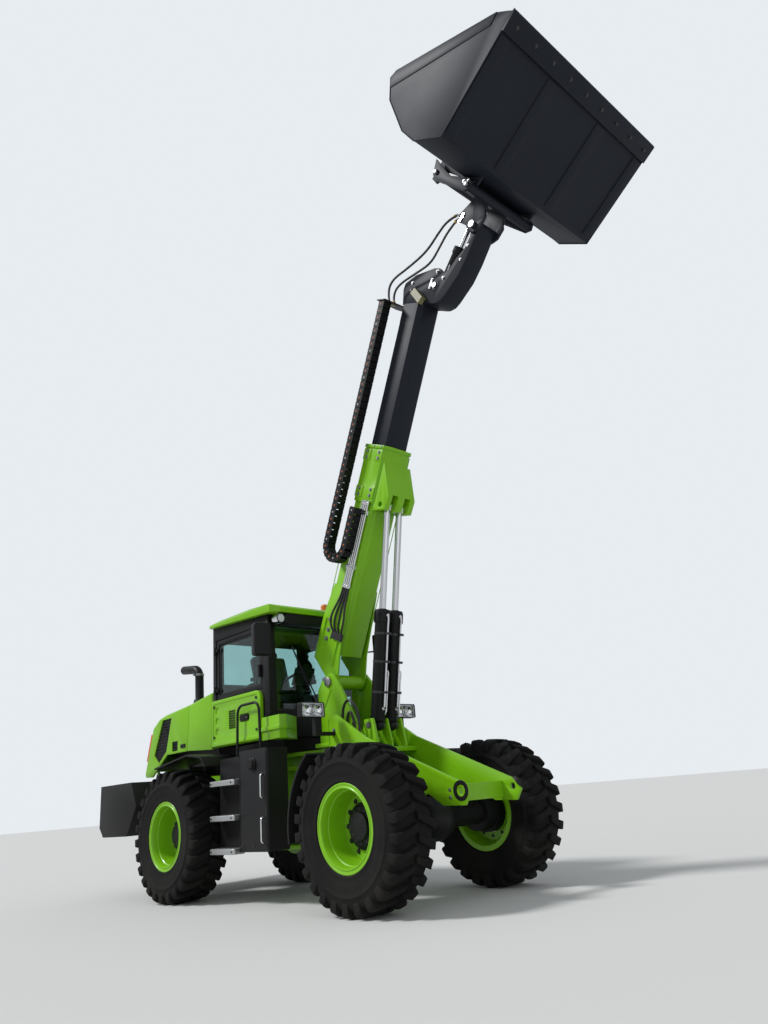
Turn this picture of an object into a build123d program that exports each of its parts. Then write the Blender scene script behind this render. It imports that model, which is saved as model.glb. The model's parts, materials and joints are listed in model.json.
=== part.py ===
"""Articulated telescopic wheel loader, boom raised, bucket level.

Millimetres. X points forward, Y to the machine's left, Z up. While the parts are drawn, x = 0 is the
steering pivot; when they are written, everything moves by -ORIGIN_X so that the origin lies on the
ground under the middle of the machine's length.
"""
from build123d import *
import os
from math import cos, hypot, radians, sin

# Wheels and axles
WHEELBASE = 3034
TRACK = 1750
TYRE_R = 675
TYRE_W = 445
LUG_H = 34
LUG_COUNT = 26
LUG_DROP = 125
LUG_SHOULDER = 52
SHOULDER_W = 70
BEAD_W = 14.2
RIM_FLANGE_R = 356
RIM_SEAT_R = 318
RIM_W = 390
RIM_DISC_Y = -70
RIM_DISC_T = 22
HUB_R = 188
HUB_NOSE_R = 112
HUB_NOSE_L = 95
SHAFT_GAP = 0.3
AXLE_R = 105
AXLE_SEAT_H = 215
FRONT_X = WHEELBASE / 2
REAR_X = -WHEELBASE / 2
WHEEL_Y = TRACK / 2
AXLE_Z = TYRE_R

# Steering pivot
PIVOT_R = 45
FORK_R = 125
LOWER_FORK_Z = 450
UPPER_FORK_Z = 1230
FORK_GAP = 100
FORK_PLATE = 40
LUG_CLEAR = 5

# Side tanks and steps
TANK_X = (-302, 195)
TANK_Y = (640, 900)
TANK_Z = (490, 1440)
LOCKER_TYRE_GAP = 72
LOCKER_Y = 830
TREAD_Y = 972
TREAD_Z = (500, 812, 1150)
TREAD_TYRE_GAP = 84

# Frames
FRAME_HALF = 360
REAR_FRAME_Z = (700, 1330)
REAR_FRAME_X = (-2900, -420)
SIDE_PLATE = 30
TOWER_X = (240, 560)
TOWER_Y = (215, 250)
DECK_Z = (1410, 1450)
NOSE_PIN = (2205, 888)
NOSE_HOLE_R = 30

# Space left between pieces that seat on each other
SEAT_GAP = 0.3

# Cab
CAB_X = (-1180, -60)
CAB_HALF = 660
CAB_Z = (1560, 2915)
WINDOW_TOP = 2760
SCREEN_SILL = 1830
FRONT_POST = 120
ROOF_FALL = 0.0536
SILL_Z = 2070
POST = 60
GLASS = 6
ROOF_X = (-1205, 130)
ROOF_HALF = 720
ROOF_T = 60
ROOF_CORNER = (70, 90)
DOOR_HINGE_Z = (2180, 2640)
DOOR_PIN_R = 8
DOOR_CLEAR = 6
HINGE_OUT = 14
PANEL_X = (-1150, -180)
PANEL_Z = (1546, 2062)
PANEL_T = 40
RAIL_R = 14

# Hood and counterweight
HOOD_HALF = 520
HOOD_WALL = 20
TAIL_X = -3310
WEIGHT_HALF = 1010
WEIGHT_Z = (690, 1290)
EXHAUST_R = 54
HOOD_HINGE = (-3085, 1380)
HOOD_HINGE_Y = 340
HOOD_PIN_R = 15

# Boom: side view places of its pins, and its section
BOOM_PIN = (420, 2060)
BOOM_PIN_R = 42
BOOM_ANGLE = 64.0
BOOM_BASE_S = 150
COLLAR_S = (1870, 2560)
TUBE_T = (0, 380)
TUBE_HALF = 180
TUBE_CHAMFER = 55
TUBE_WALL = 12
SLIDE_GAP = 14
INNER_TAIL_S = 1800
INNER_TIP_S = 4150
HEAD_PIN = (3020, 6270)
TILT_BASE_PIN = (2400, 5920)
TILT_ROD_PIN = (2900, 6460)
HEAD_HALF = 124
EAR_T = 24
EAR_SIDE_GAP = 6

# Energy chain beside the boom, and the pipes under it
CHAIN_W = 110
CHAIN_T = 100
CHAIN_Y = -285
CHAIN_BEND_S = 1420
CHAIN_FIXED_S = 1850
CHAIN_RUN_T = (160, 470)
CHAIN_PITCH = 76
PIPE_R = 11
PIPE_S = (1030, 1915)

# Lift cylinders
LIFT_BASE_PIN = (950, 1560)
LIFT_ROD_PIN = (1360, 3760)
LIFT_PIN_R = 32
LIFT_Y = 88
LIFT_R = 72
LIFT_ROD_R = 34
LIFT_BARREL_L = 1140
LIFT_ROD_INSIDE = 105

# Tilt cylinder
TILT_R = 60
TILT_ROD_R = 28
TILT_BARREL_L = 460
TILT_ROD_INSIDE = 250
BARREL_FOOT = 24

# Bucket: the corner behind its floor, the floor's length and pitch
BUCKET_HEEL = (3537, 6357)
FLOOR_L = 1131
FLOOR_PITCH = 34.0
BUCKET_HALF = 1165
BUCKET_PLATE = 16
EDGE_L = 190
EDGE_T = 26
HOOK_TUBE = (2915, 6830)
LOCK_TUBE = (3262, 6410)
COUPLER_TUBE_R = 48

TIP_X = BUCKET_HEEL[0] + FLOOR_L * cos(radians(FLOOR_PITCH))
ORIGIN_X = (TAIL_X + TIP_X) / 2

SIDE = Plane.XZ
BOOM = Plane(
    origin=(BOOM_PIN[0], 0, BOOM_PIN[1]),
    x_dir=(cos(radians(BOOM_ANGLE)), 0, sin(radians(BOOM_ANGLE))),
    z_dir=(0, -1, 0),
)
BUCKET = Plane(
    origin=(BUCKET_HEEL[0], 0, BUCKET_HEEL[1]),
    x_dir=(cos(radians(FLOOR_PITCH)), 0, sin(radians(FLOOR_PITCH))),
    z_dir=(0, -1, 0),
)

nodes = {}


def prism(plane, points, y0, y1):
    """A side view outline, given a thickness from y0 to y1."""
    face = plane * make_face(Polyline(*points, close=True))
    return Pos(0, y1, 0) * extrude(face, amount=y1 - y0)


def plan(points, z0, z1):
    """A plan view outline, given a height from z0 to z1."""
    return Pos(0, 0, z0) * extrude(make_face(Polyline(*points, close=True)), amount=z1 - z0)


def block(x0, x1, y0, y1, z0, z1):
    """A box between three pairs of limits."""
    return Pos((x0 + x1) / 2, (y0 + y1) / 2, (z0 + z1) / 2) * Box(x1 - x0, y1 - y0, z1 - z0)


def bar(start, end, radius):
    """A round bar between two points."""
    a, b = Vector(*start), Vector(*end)
    plane = Plane(origin=a, z_dir=(b - a).normalized())
    return extrude(plane * Circle(radius), amount=(b - a).length)


def cross_pin(place, radius, y0, y1):
    """A round pin across the machine at a side view place."""
    return bar((place[0], y0, place[1]), (place[0], y1, place[1]), radius)


def bent_tube(points, bend, radius):
    """A tube that follows straight runs joined by arcs."""
    path = FilletPolyline(*points, radius=[bend] * (len(points) - 2))
    return sweep(Plane(origin=path @ 0, z_dir=path % 0) * Circle(radius), path=path)


def revolved(points):
    """A wheel shape turned from (radius, distance along the axle) points."""
    return revolve(Plane.XY * make_face(Polyline(*points, close=True)), axis=Axis.Y, revolution_arc=360)


def both_sides(points):
    """A half profile and its mirror image about the wheel's middle."""
    return [(r, -y) for r, y in points] + [(r, y) for r, y in reversed(points)]


def mirrored(solid):
    """A solid and its twin on the machine's other side."""
    return Compound(list(solid.solids()) + list(mirror(solid, about=Plane.XZ).solids()))


def fused(*solids):
    """Pieces welded into one."""
    result = solids[0]
    for solid in solids[1:]:
        result = result + solid
    return result


def boom_point(s, t):
    """Side view place from the distance along the boom and the height above its lower face."""
    c, n = cos(radians(BOOM_ANGLE)), sin(radians(BOOM_ANGLE))
    return (BOOM_PIN[0] + s * c - t * n, BOOM_PIN[1] + s * n + t * c)


def toward(start, end, distance):
    """The side view place at a distance from one pin towards another."""
    length = hypot(end[0] - start[0], end[1] - start[1])
    share = distance / length
    return (start[0] + (end[0] - start[0]) * share, start[1] + (end[1] - start[1]) * share)


def grown(points, amount):
    """An outline with each corner moved away from the middle."""
    mid_x = sum(p[0] for p in points) / len(points)
    mid_z = sum(p[1] for p in points) / len(points)
    result = []
    for x, z in points:
        share = 1 + amount / hypot(x - mid_x, z - mid_z)
        result.append((mid_x + (x - mid_x) * share, mid_z + (z - mid_z) * share))
    return result


def plate_outline(points, thickness):
    """The outline of a bent plate that lies to the left of the line through its points."""
    normals = []
    for (xa, za), (xb, zb) in zip(points, points[1:]):
        length = hypot(xb - xa, zb - za)
        normals.append((-(zb - za) / length, (xb - xa) / length))
    inner = []
    for i, (x, z) in enumerate(points):
        first, second = normals[max(i - 1, 0)], normals[min(i, len(normals) - 1)]
        scale = thickness / (1 + first[0] * second[0] + first[1] * second[1])
        inner.append((x + (first[0] + second[0]) * scale, z + (first[1] + second[1]) * scale))
    return list(points) + inner[::-1]


def tube_section(t0, t1, half, chamfer):
    """The boom's section, with its four corners cut off."""
    return [
        (-half, t0 + chamfer),
        (-half + chamfer, t0),
        (half - chamfer, t0),
        (half, t0 + chamfer),
        (half, t1 - chamfer),
        (half - chamfer, t1),
        (-half + chamfer, t1),
        (-half, t1 - chamfer),
    ]


def boom_extrusion(section, s0, s1):
    """A section of (y, t) points pushed along the boom from s0 to s1."""
    x, z = boom_point(s0, 0)
    c, n = cos(radians(BOOM_ANGLE)), sin(radians(BOOM_ANGLE))
    plane = Plane(origin=(x, 0, z), x_dir=(0, 1, 0), z_dir=(c, 0, n))
    return extrude(plane * make_face(Polyline(*section, close=True)), amount=s1 - s0)


def make_wheels():
    """Four tyres with chevron lugs that wrap over the shoulders, and their deep rims."""
    half = TYRE_W / 2
    body_r = TYRE_R - LUG_H
    # Radius and distance from the middle, from the bead to the crown
    carcass_side = [
        (RIM_SEAT_R, RIM_W / 2 - BEAD_W),
        (RIM_FLANGE_R + 0.5, RIM_W / 2 - BEAD_W + 3.8),
        (RIM_FLANGE_R + 7, RIM_W / 2 - 4),
        (RIM_FLANGE_R + 70, half - 6),
        (body_r - 110, half - 4),
        (body_r - 8, half - SHOULDER_W),
    ]
    # Radius and distance from the middle, over the ends and the tops of the lugs
    lug_side = [
        (body_r - LUG_DROP, half - 30),
        (body_r - LUG_DROP, half - 3),
        (TYRE_R - LUG_SHOULDER, half),
        (TYRE_R, half - 30),
    ]
    carcass = revolved(both_sides(carcass_side))
    envelope = revolved(both_sides(lug_side))
    # Plan of one lug: along the tread, and away from the middle
    lug_outline = [
        (-20, 6),
        (60, 6),
        (128, 96),
        (150, half + 1),
        (52, half + 1),
        (40, 110),
    ]
    root = body_r - LUG_DROP + 1
    lug = Pos(0, 0, root) * extrude(make_face(Polyline(*lug_outline, close=True)), amount=TYRE_R - root + 5)
    lug = lug & envelope
    lug_other = mirror(lug, about=Plane.XZ)
    pitch = 360 / LUG_COUNT
    lugs = []
    for i in range(LUG_COUNT):
        lugs.append(Rot(0, i * pitch, 0) * lug)
        lugs.append(Rot(0, (i + 0.5) * pitch, 0) * lug_other)
    tyre = carcass.fuse(*lugs)

    edge = RIM_W / 2
    seat_y = edge - 13.7
    barrel = RIM_SEAT_R - 12
    disc = (RIM_DISC_Y, RIM_DISC_Y + RIM_DISC_T)
    # Radius and distance from the middle: the tyre's side, the stepped open face, then the disc
    seat_r = RIM_SEAT_R - SEAT_GAP
    bore_r = HUB_R + SHAFT_GAP
    rim_profile = [
        (barrel, -edge), (RIM_FLANGE_R, -edge), (RIM_FLANGE_R, -edge + 10), (seat_r, -seat_y), (seat_r, seat_y),
        (RIM_FLANGE_R, edge - 10), (RIM_FLANGE_R, edge), (RIM_FLANGE_R - 16, edge), (RIM_FLANGE_R - 20, edge - 6),
        (RIM_SEAT_R + 5, edge - 6), (RIM_SEAT_R + 1, edge), (barrel + 3, edge), (barrel - 3, edge - 16),
        (barrel - 8, edge - 70), (barrel - 26, edge - 160), (barrel - 46, disc[1]), (bore_r, disc[1]),
        (bore_r, disc[0]), (barrel - 46, disc[0]),
    ]
    rim = revolved(rim_profile)
    places = (
        ("front_left", FRONT_X, 1),
        ("front_right", FRONT_X, -1),
        ("rear_left", REAR_X, 1),
        ("rear_right", REAR_X, -1),
    )
    for name, x, side in places:
        nodes["tyre_" + name] = Pos(x, side * WHEEL_Y, AXLE_Z) * tyre
        turned = rim if side > 0 else mirror(rim, about=Plane.XZ)
        nodes["rim_" + name] = Pos(x, side * WHEEL_Y, AXLE_Z) * turned


def make_axle(x):
    """A beam axle with its differential housing and the two hub ends that carry the rims."""
    disc_y = WHEEL_Y + RIM_DISC_Y
    beam = bar((x, -disc_y + 60, AXLE_Z), (x, disc_y - 60, AXLE_Z), AXLE_R)
    bulb = Pos(x, 0, AXLE_Z) * Sphere(205)
    nose = bar((x, 0, AXLE_Z), (x - 300 if x > 0 else x + 300, 0, AXLE_Z), 85)
    axle = fused(beam, bulb, nose)
    for side in (-1, 1):
        brake = bar((x, side * (disc_y - 230), AXLE_Z), (x, side * (disc_y - 90), AXLE_Z), 165)
        hub = bar((x, side * (disc_y - 95), AXLE_Z), (x, side * (disc_y + RIM_DISC_T + 30), AXLE_Z), HUB_R)
        step = bar((x, side * disc_y, AXLE_Z), (x, side * (disc_y + RIM_DISC_T + 60), AXLE_Z), HUB_R - 34)
        nose_y = disc_y + RIM_DISC_T + HUB_NOSE_L
        cap = bar((x, side * disc_y, AXLE_Z), (x, side * nose_y, AXLE_Z), HUB_NOSE_R)
        pad = block(x - 90, x + 90, side * 330 - 60, side * 330 + 60, AXLE_Z + 60, AXLE_Z + AXLE_SEAT_H)
        axle = fused(axle, brake, hub, step, cap, pad)
    return axle


def fork_plate(z0, z1, reach):
    """A hinge plate in plan, from the pivot to the frame at x = reach."""
    tongue = plan([(reach, -300), (reach, 300), (0, FORK_R), (0, -FORK_R)], z0, z1)
    eye = Pos(0, 0, z0) * extrude(Circle(FORK_R), amount=z1 - z0)
    return tongue + eye


def pivot_hole(z0, z1, radius):
    return Pos(0, 0, z0) * extrude(Circle(radius), amount=z1 - z0)


def make_rear_frame():
    """Rear chassis, its axle, the engine block, the counterweight and the side tanks."""
    z0, z1 = REAR_FRAME_Z
    x0, x1 = REAR_FRAME_X
    rail_outline = [
        (x0, z0 + 180), (x0, z1), (x1, z1 + 80), (x1, LOWER_FORK_Z), (x1 - 250, LOWER_FORK_Z),
        (REAR_X + 520, AXLE_Z + AXLE_SEAT_H), (REAR_X - 520, AXLE_Z + AXLE_SEAT_H),
    ]
    rails = mirrored(prism(SIDE, rail_outline, FRAME_HALF - SIDE_PLATE, FRAME_HALF))
    seat_z = AXLE_Z + AXLE_SEAT_H
    frame = fused(
        *rails.solids(),
        block(x1 - 40, x1, -FRAME_HALF, FRAME_HALF, LOWER_FORK_Z, z1 + 80),
        block(x0, x0 + 30, -FRAME_HALF, FRAME_HALF, z0 + 180, z1),
        block(REAR_X - 60, REAR_X + 60, -FRAME_HALF, FRAME_HALF, seat_z, seat_z + 90),
    )
    rise = FORK_PLATE + FORK_GAP
    for z in (LOWER_FORK_Z, LOWER_FORK_Z + rise, UPPER_FORK_Z, UPPER_FORK_Z + rise):
        frame = frame + fork_plate(z, z + FORK_PLATE, x1)
        frame = frame - pivot_hole(z - 1, z + FORK_PLATE + 1, PIVOT_R)
    nodes["rear_chassis"] = frame
    pins = []
    for z in (LOWER_FORK_Z, UPPER_FORK_Z):
        top = z + 2 * FORK_PLATE + FORK_GAP
        pins.append(Pos(0, 0, z - 12) * extrude(Circle(PIVOT_R - SHAFT_GAP), amount=top + 12 - z + 12))
    nodes["steering_pins"] = Compound(pins)
    nodes["rear_axle"] = make_axle(REAR_X)
    engine_half = FRAME_HALF - SIDE_PLATE - 30
    engine = block(-2750, -1650, -engine_half, engine_half, z0 + 320, z1 + 380)
    for x in (-2650, -1800):
        mount_half = FRAME_HALF - SIDE_PLATE - SEAT_GAP
        engine = engine + block(x, x + 80, -mount_half, mount_half, z0 + 340, z0 + 420)
    nodes["engine_block"] = engine

    half = WEIGHT_HALF
    weight = prism(
        SIDE,
        [(TAIL_X + 110, WEIGHT_Z[0]), (TAIL_X, WEIGHT_Z[0] + 110), (TAIL_X, WEIGHT_Z[1]),
         (x0 - SEAT_GAP, WEIGHT_Z[1]), (x0 - SEAT_GAP, WEIGHT_Z[0])],
        -half, half,
    )
    wing = prism(
        SIDE,
        [(x0 - SEAT_GAP, WEIGHT_Z[0]), (x0 - SEAT_GAP, WEIGHT_Z[1]), (-2480, WEIGHT_Z[1]),
         (-2330, WEIGHT_Z[0] + 330), (-2560, WEIGHT_Z[0])],
        FRAME_HALF + 20, half,
    )
    weight = weight + wing + mirror(wing, about=Plane.XZ)
    notch = block(TAIL_X - 10, TAIL_X + 150, -110, 110, 820, 1020)
    weight = weight - notch - Pos(TAIL_X + 80, 0, WEIGHT_Z[0] - 5) * extrude(Circle(28), amount=620)
    hinge_y = (HOOD_HINGE_Y - 30, HOOD_HINGE_Y - SEAT_GAP)
    hx, hz = HOOD_HINGE
    lug = block(hx - 32, hx + 32, *hinge_y, WEIGHT_Z[1] - 5, hz) + cross_pin(HOOD_HINGE, 32, *hinge_y)
    lug = lug + cross_pin(HOOD_HINGE, HOOD_PIN_R, HOOD_HINGE_Y - 30, HOOD_HINGE_Y + 22)
    nodes["counterweight"] = weight + lug + mirror(lug, about=Plane.XZ)

    tank = block(*TANK_X, *TANK_Y, *TANK_Z)
    tank = fillet(tank.edges().filter_by(Axis.Z), 22)
    locker_x = (REAR_X + TYRE_R + LOCKER_TYRE_GAP, TANK_X[0] + 20)
    locker = block(*locker_x, TANK_Y[0], LOCKER_Y, TANK_Z[0], TANK_Z[1] - 40)
    bracket_x = REAR_FRAME_X[1] - 130
    bracket = block(bracket_x, bracket_x + 100, FRAME_HALF + SEAT_GAP, TANK_Y[0] + 1, 1000, 1100)
    nodes["side_tanks"] = mirrored(fused(tank, locker, bracket))
    treads = []
    tread_x = (REAR_X + TYRE_R + TREAD_TYRE_GAP, TANK_X[0] - SEAT_GAP)
    for z in TREAD_Z:
        for side in (-1, 1):
            y = sorted((side * (LOCKER_Y + SEAT_GAP), side * TREAD_Y))
            tread = block(*tread_x, *y, z - 26, z + 26)
            treads.append(fillet(tread.edges().filter_by(Axis.Z), 24))
    nodes["ladder_treads"] = Compound(treads)

    # Places along the machine are counted from the rear axle
    fender = prism(SIDE, [(-383, 1388), (337, 1474), (637, 1430), (722, 1335), (737, 1345), (649, 1446),
                          (341, 1492), (-387, 1404)], 585, 1010)
    for x in (-343, 17, 277):
        under = 1388 + (x + 383) * 0.1194
        fender = fender + block(x, x + 60, FRAME_HALF + SEAT_GAP, 600, 1270, under + 8)
    nodes["rear_fenders"] = mirrored(Pos(REAR_X, 0, 0) * fender)


def make_hood():
    """The engine hood with its slanted vents, caps, lamps and exhaust."""
    outline = [
        (-1430, 1560), (-1430, 2225), (-1970, 2150), (-2600, 2095), (-2760, 2065), (-2885, 1990),
        (-3090, 1400), (-3070, 1362), (-2900, 1356), (-2520, 1598), (-2010, 1598),
    ]
    inner = [
        (-1410, 1200), (-1410, 2202), (-1970, 2128), (-2596, 2074), (-2752, 2046), (-2869, 1974),
        (-3068, 1400), (-3050, 1200),
    ]
    shell = prism(SIDE, outline, -HOOD_HALF, HOOD_HALF)
    top_edges = shell.edges().filter_by(lambda e: e.center().Z > 1700 and abs(e.center().Y) > HOOD_HALF - 1)
    shell = chamfer(top_edges, 26)
    skin = Pos(0, 0, SHAFT_GAP) * shell
    room = prism(SIDE, inner, -HOOD_HALF + HOOD_WALL, HOOD_HALF - HOOD_WALL)
    shell = shell - room
    hx, hz = HOOD_HINGE
    shell = shell - block(hx - 60, hx + 190, -HOOD_HINGE_Y - 80, HOOD_HINGE_Y + 80, hz - 60, hz + 48)
    lug = block(hx - 4, hx + 40, HOOD_HINGE_Y, HOOD_HINGE_Y + 20, hz - 30, hz + 90)
    lug = lug - cross_pin(HOOD_HINGE, HOOD_PIN_R + SHAFT_GAP, HOOD_HINGE_Y - 1, HOOD_HINGE_Y + 21)
    shell = shell + lug + mirror(lug, about=Plane.XZ)
    vent = [(-2425, 2040), (-2655, 2035), (-2862, 1615), (-2735, 1510), (-2545, 1640)]
    square = [(-2258, 1625), (-2258, 1742), (-2400, 1742), (-2400, 1625)]
    seam = [(-1958, 2300), (-1965, 2300), (-2023, 1590), (-2016, 1590)]
    wide = HOOD_HALF + 5
    groove = prism(SIDE, seam, -wide, wide) - prism(SIDE, seam, -HOOD_HALF + 5, HOOD_HALF - 5)
    shell = shell - prism(SIDE, vent, -wide, wide) - prism(SIDE, square, -wide, wide) - groove
    for x, y in ((-2250, -150), (-2480, 150)):
        shell = shell + Pos(x, y, 2090) * extrude(Circle(34), amount=70)
    nodes["hood"] = shell
    grilles = []
    seat_y = HOOD_HALF - HOOD_WALL - SEAT_GAP
    # Outline of a vent, height of its lowest slat, number of slats
    for hole, low, count in ((vent, 1535, 13), (square, 1640, 3)):
        room = prism(SIDE, grown(hole, -4), seat_y - 1, HOOD_HALF - 8)
        grille = prism(SIDE, grown(hole, 18), seat_y - 8, seat_y)
        for i in range(count):
            z = low + i * 38
            grille = grille + (room & block(-2900, -2240, seat_y - 2, HOOD_HALF, z, z + 14))
        grilles += grille.solids()
    nodes["hood_grilles"] = mirrored(Compound(grilles))
    path = [(-2105, -300, 2115), (-2118, -300, 2612), (-2505, -300, 2662)]
    stack = bent_tube(path, 125, EXHAUST_R)
    tip = bar((-2440, -300, 2653.6), (-2520, -300, 2664), EXHAUST_R - 7)
    base = Pos(-2105, -300, 2110) * extrude(Circle(96), amount=120, taper=12)
    nodes["exhaust_stack"] = stack + base - skin - tip
    lamp_outline = [(-2915, 1880), (-3028, 1555), (-3088, 1562), (-2974, 1894)]
    lamp = prism(SIDE, lamp_outline, HOOD_HALF - 66, HOOD_HALF - 8)
    nodes["tail_lamps"] = mirrored(Pos(-SEAT_GAP, 0, 0) * (lamp - skin))


def make_cab():
    """Hollow cab: posts and rails round its windows, glass, doors, roof, mirrors and inside fittings."""
    x0, x1 = CAB_X
    z0, z1 = CAB_Z
    h = CAB_HALF
    top = WINDOW_TOP
    brow = z1 - ROOF_FALL * (x1 - x0)
    room = block(x0 + POST, x1 - POST, -h + POST, h - POST, z0 + 40, z1 + 1)
    shell = prism(SIDE, [(x0, z0), (x0, z1), (x1, brow), (x1, z0)], -h, h) - room
    screen_half = h - FRONT_POST + 30
    rear_half = h - POST - 40
    rear_sill = SILL_Z + 170
    shell = shell - block(x1 - POST - 1, x1 + 1, -screen_half, screen_half, SCREEN_SILL, top)
    shell = shell - block(x0 - 1, x0 + POST + 1, -rear_half, rear_half, rear_sill, top)
    shell = shell - block(x0 + POST, x1 - FRONT_POST, -h - 1, -h + POST + 1, SILL_Z, top)
    shell = shell - block(x0 + POST, x1 - FRONT_POST, h - POST - 1, h + 1, z0 + 40, top)
    gap = SEAT_GAP
    front_y = (-screen_half + gap, screen_half - gap)
    rear_y = (-rear_half + gap, rear_half - gap)
    front_glass = block(x1 - 40, x1 - 40 + GLASS, *front_y, SCREEN_SILL + gap, top - gap)
    rear_glass = block(x0 + 34, x0 + 34 + GLASS, *rear_y, rear_sill + gap, top - gap)
    nodes["cab_glass"] = Compound([front_glass, rear_glass])
    visor_outline = [(x1 - 1, top - 15), (x1 + 150, top - 30), (x1 + 165, brow - 12), (x1 - 1, brow - 2)]
    visor = prism(SIDE, visor_outline, -540, 540)
    shell = shell + visor

    rx0, rx1 = ROOF_X
    low_rear = z1 + gap - ROOF_FALL * (rx0 - x0)
    low_front = z1 + gap - ROOF_FALL * (rx1 - x0)
    crown = z1 + ROOF_T + 12
    cut_x, cut_y = ROOF_CORNER
    r = ROOF_HALF
    side_view = [(rx0, low_rear), (rx0 + 12, low_rear + 46), (rx0 + 160, crown), (-400, crown),
                 (rx1 - cut_x, low_front + 90), (rx1, low_front + 52), (rx1, low_front)]
    roof_plan = [(rx0 + 40, -r), (rx1 - cut_x, -r), (rx1, -r + cut_y), (rx1, r - cut_y),
                 (rx1 - cut_x, r), (rx0 + 40, r), (rx0, r - 50), (rx0, -r + 50)]
    front_view = [(-r, 2700), (r, 2700), (r, z1 + 22), (r - 70, crown + 1), (-r + 70, crown + 1), (-r, z1 + 22)]
    across = Plane(origin=(rx0 - 1, 0, 0), x_dir=(0, 1, 0), z_dir=(1, 0, 0))
    crowned = extrude(across * make_face(Polyline(*front_view, close=True)), amount=1400)
    roof = prism(SIDE, side_view, -r, r) & plan(roof_plan, 2700, 3100) & crowned
    nodes["cab_roof"] = roof
    beacon = Pos(-310, 350, z1 + 30) * Cylinder(52, 90, align=(Align.CENTER, Align.CENTER, Align.MIN))
    dome = Pos(-310, 350, z1 + 110) * Cylinder(44, 96, align=(Align.CENTER, Align.CENTER, Align.MIN))
    dome = fillet(dome.edges().group_by(Axis.Z)[-1], 30)
    nodes["beacon"] = beacon + dome - Pos(0, 0, gap) * roof
    lamp = bar((x1 + 70, 602, top + 22), (x1 + 165, 602, top + 22), 52)
    stalk = block(x1 + 100, x1 + 130, 588, 616, top + 40, low_front + 40)
    nodes["work_lamps"] = mirrored(lamp + stalk - Pos(0, 0, -gap) * roof)

    mirror_y = h + 190
    arm_z = 2520
    arm = bent_tube([(x1 - 25, h + 10, arm_z), (x1 + 20, mirror_y - 70, arm_z), (x1 + 120, mirror_y, arm_z)], 60, 9)
    foot = block(x1 - 60, x1 - 4, h + gap, h + 14, 2490, 2550)
    glass_box = fillet(block(-45, 45, -95, 95, 2365, 2705).edges().filter_by(Axis.X), 28)
    glass_box = fillet(glass_box.edges().group_by(Axis.X)[-1], 18)
    arm = arm + foot + Pos(x1 + 150, mirror_y, 0) * Rot(0, 0, 14) * glass_box
    nodes["mirrors"] = mirrored(arm)

    clear = DOOR_CLEAR
    hinge_x = x0 + POST + clear / 2
    hinge_y = h + HINGE_OUT
    leaves = {1: [], -1: []}
    for side in (1, -1):
        for z in DOOR_HINGE_Z:
            y = side * hinge_y
            leaf_y = sorted((side * (h - 10), y))
            post_y = sorted((side * (h - 2), y))
            leaf = bar((hinge_x, y, z - 20), (hinge_x, y, z + 20), 14)
            leaf = leaf + block(hinge_x, hinge_x + 45, *leaf_y, z - 20, z + 20)
            eye = bar((hinge_x, y, z - 21), (hinge_x, y, z + 21), DOOR_PIN_R + SHAFT_GAP)
            leaves[side].append(leaf - eye)
            post = bar((hinge_x, y, z - 45), (hinge_x, y, z + 45), DOOR_PIN_R)
            for low in (z - 45, z + 20 + SEAT_GAP):
                post = post + bar((hinge_x, y, low), (hinge_x, y, low + 24), 14)
                post = post + block(hinge_x - 40, hinge_x, *post_y, low, low + 24)
            shell = shell + post
    base = block(x0, -245, -FRAME_HALF, FRAME_HALF, REAR_FRAME_Z[1] + 80 + SEAT_GAP, z0 + 1)
    nodes["cab_frame"] = shell + base
    door_x = (x0 + POST + clear, x1 - FRONT_POST - clear)
    glass_x = (door_x[0] + 50, door_x[1] - 50)
    glass_top = top - clear - 50
    for name, side, low in (("door_left", 1, z0 + 46), ("window_right", -1, SILL_Z + clear)):
        y = sorted((side * (h - 8), side * (h - 48)))
        frame = block(*door_x, *y, low, top - clear)
        glass_low = max(low, SILL_Z) + 50
        hole = block(*glass_x, y[0] - 1, y[1] + 1, glass_low, glass_top)
        if side > 0:
            hole = hole + block(*glass_x, y[0] - 1, y[1] + 1, low + 90, SILL_Z - 20)
        nodes[name + "_frame"] = fused(frame - hole, *leaves[side])
        yc = side * (h - 28)
        panes = block(glass_x[0] + gap, glass_x[1] - gap, yc - 3, yc + 3, glass_low + gap, glass_top - gap)
        if side > 0:
            panes = Compound([panes, block(glass_x[0] + gap, glass_x[1] - gap, yc - 3, yc + 3, low + 90 + gap,
                                           SILL_Z - 20 - gap)])
        nodes[name + "_glass"] = panes

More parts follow.
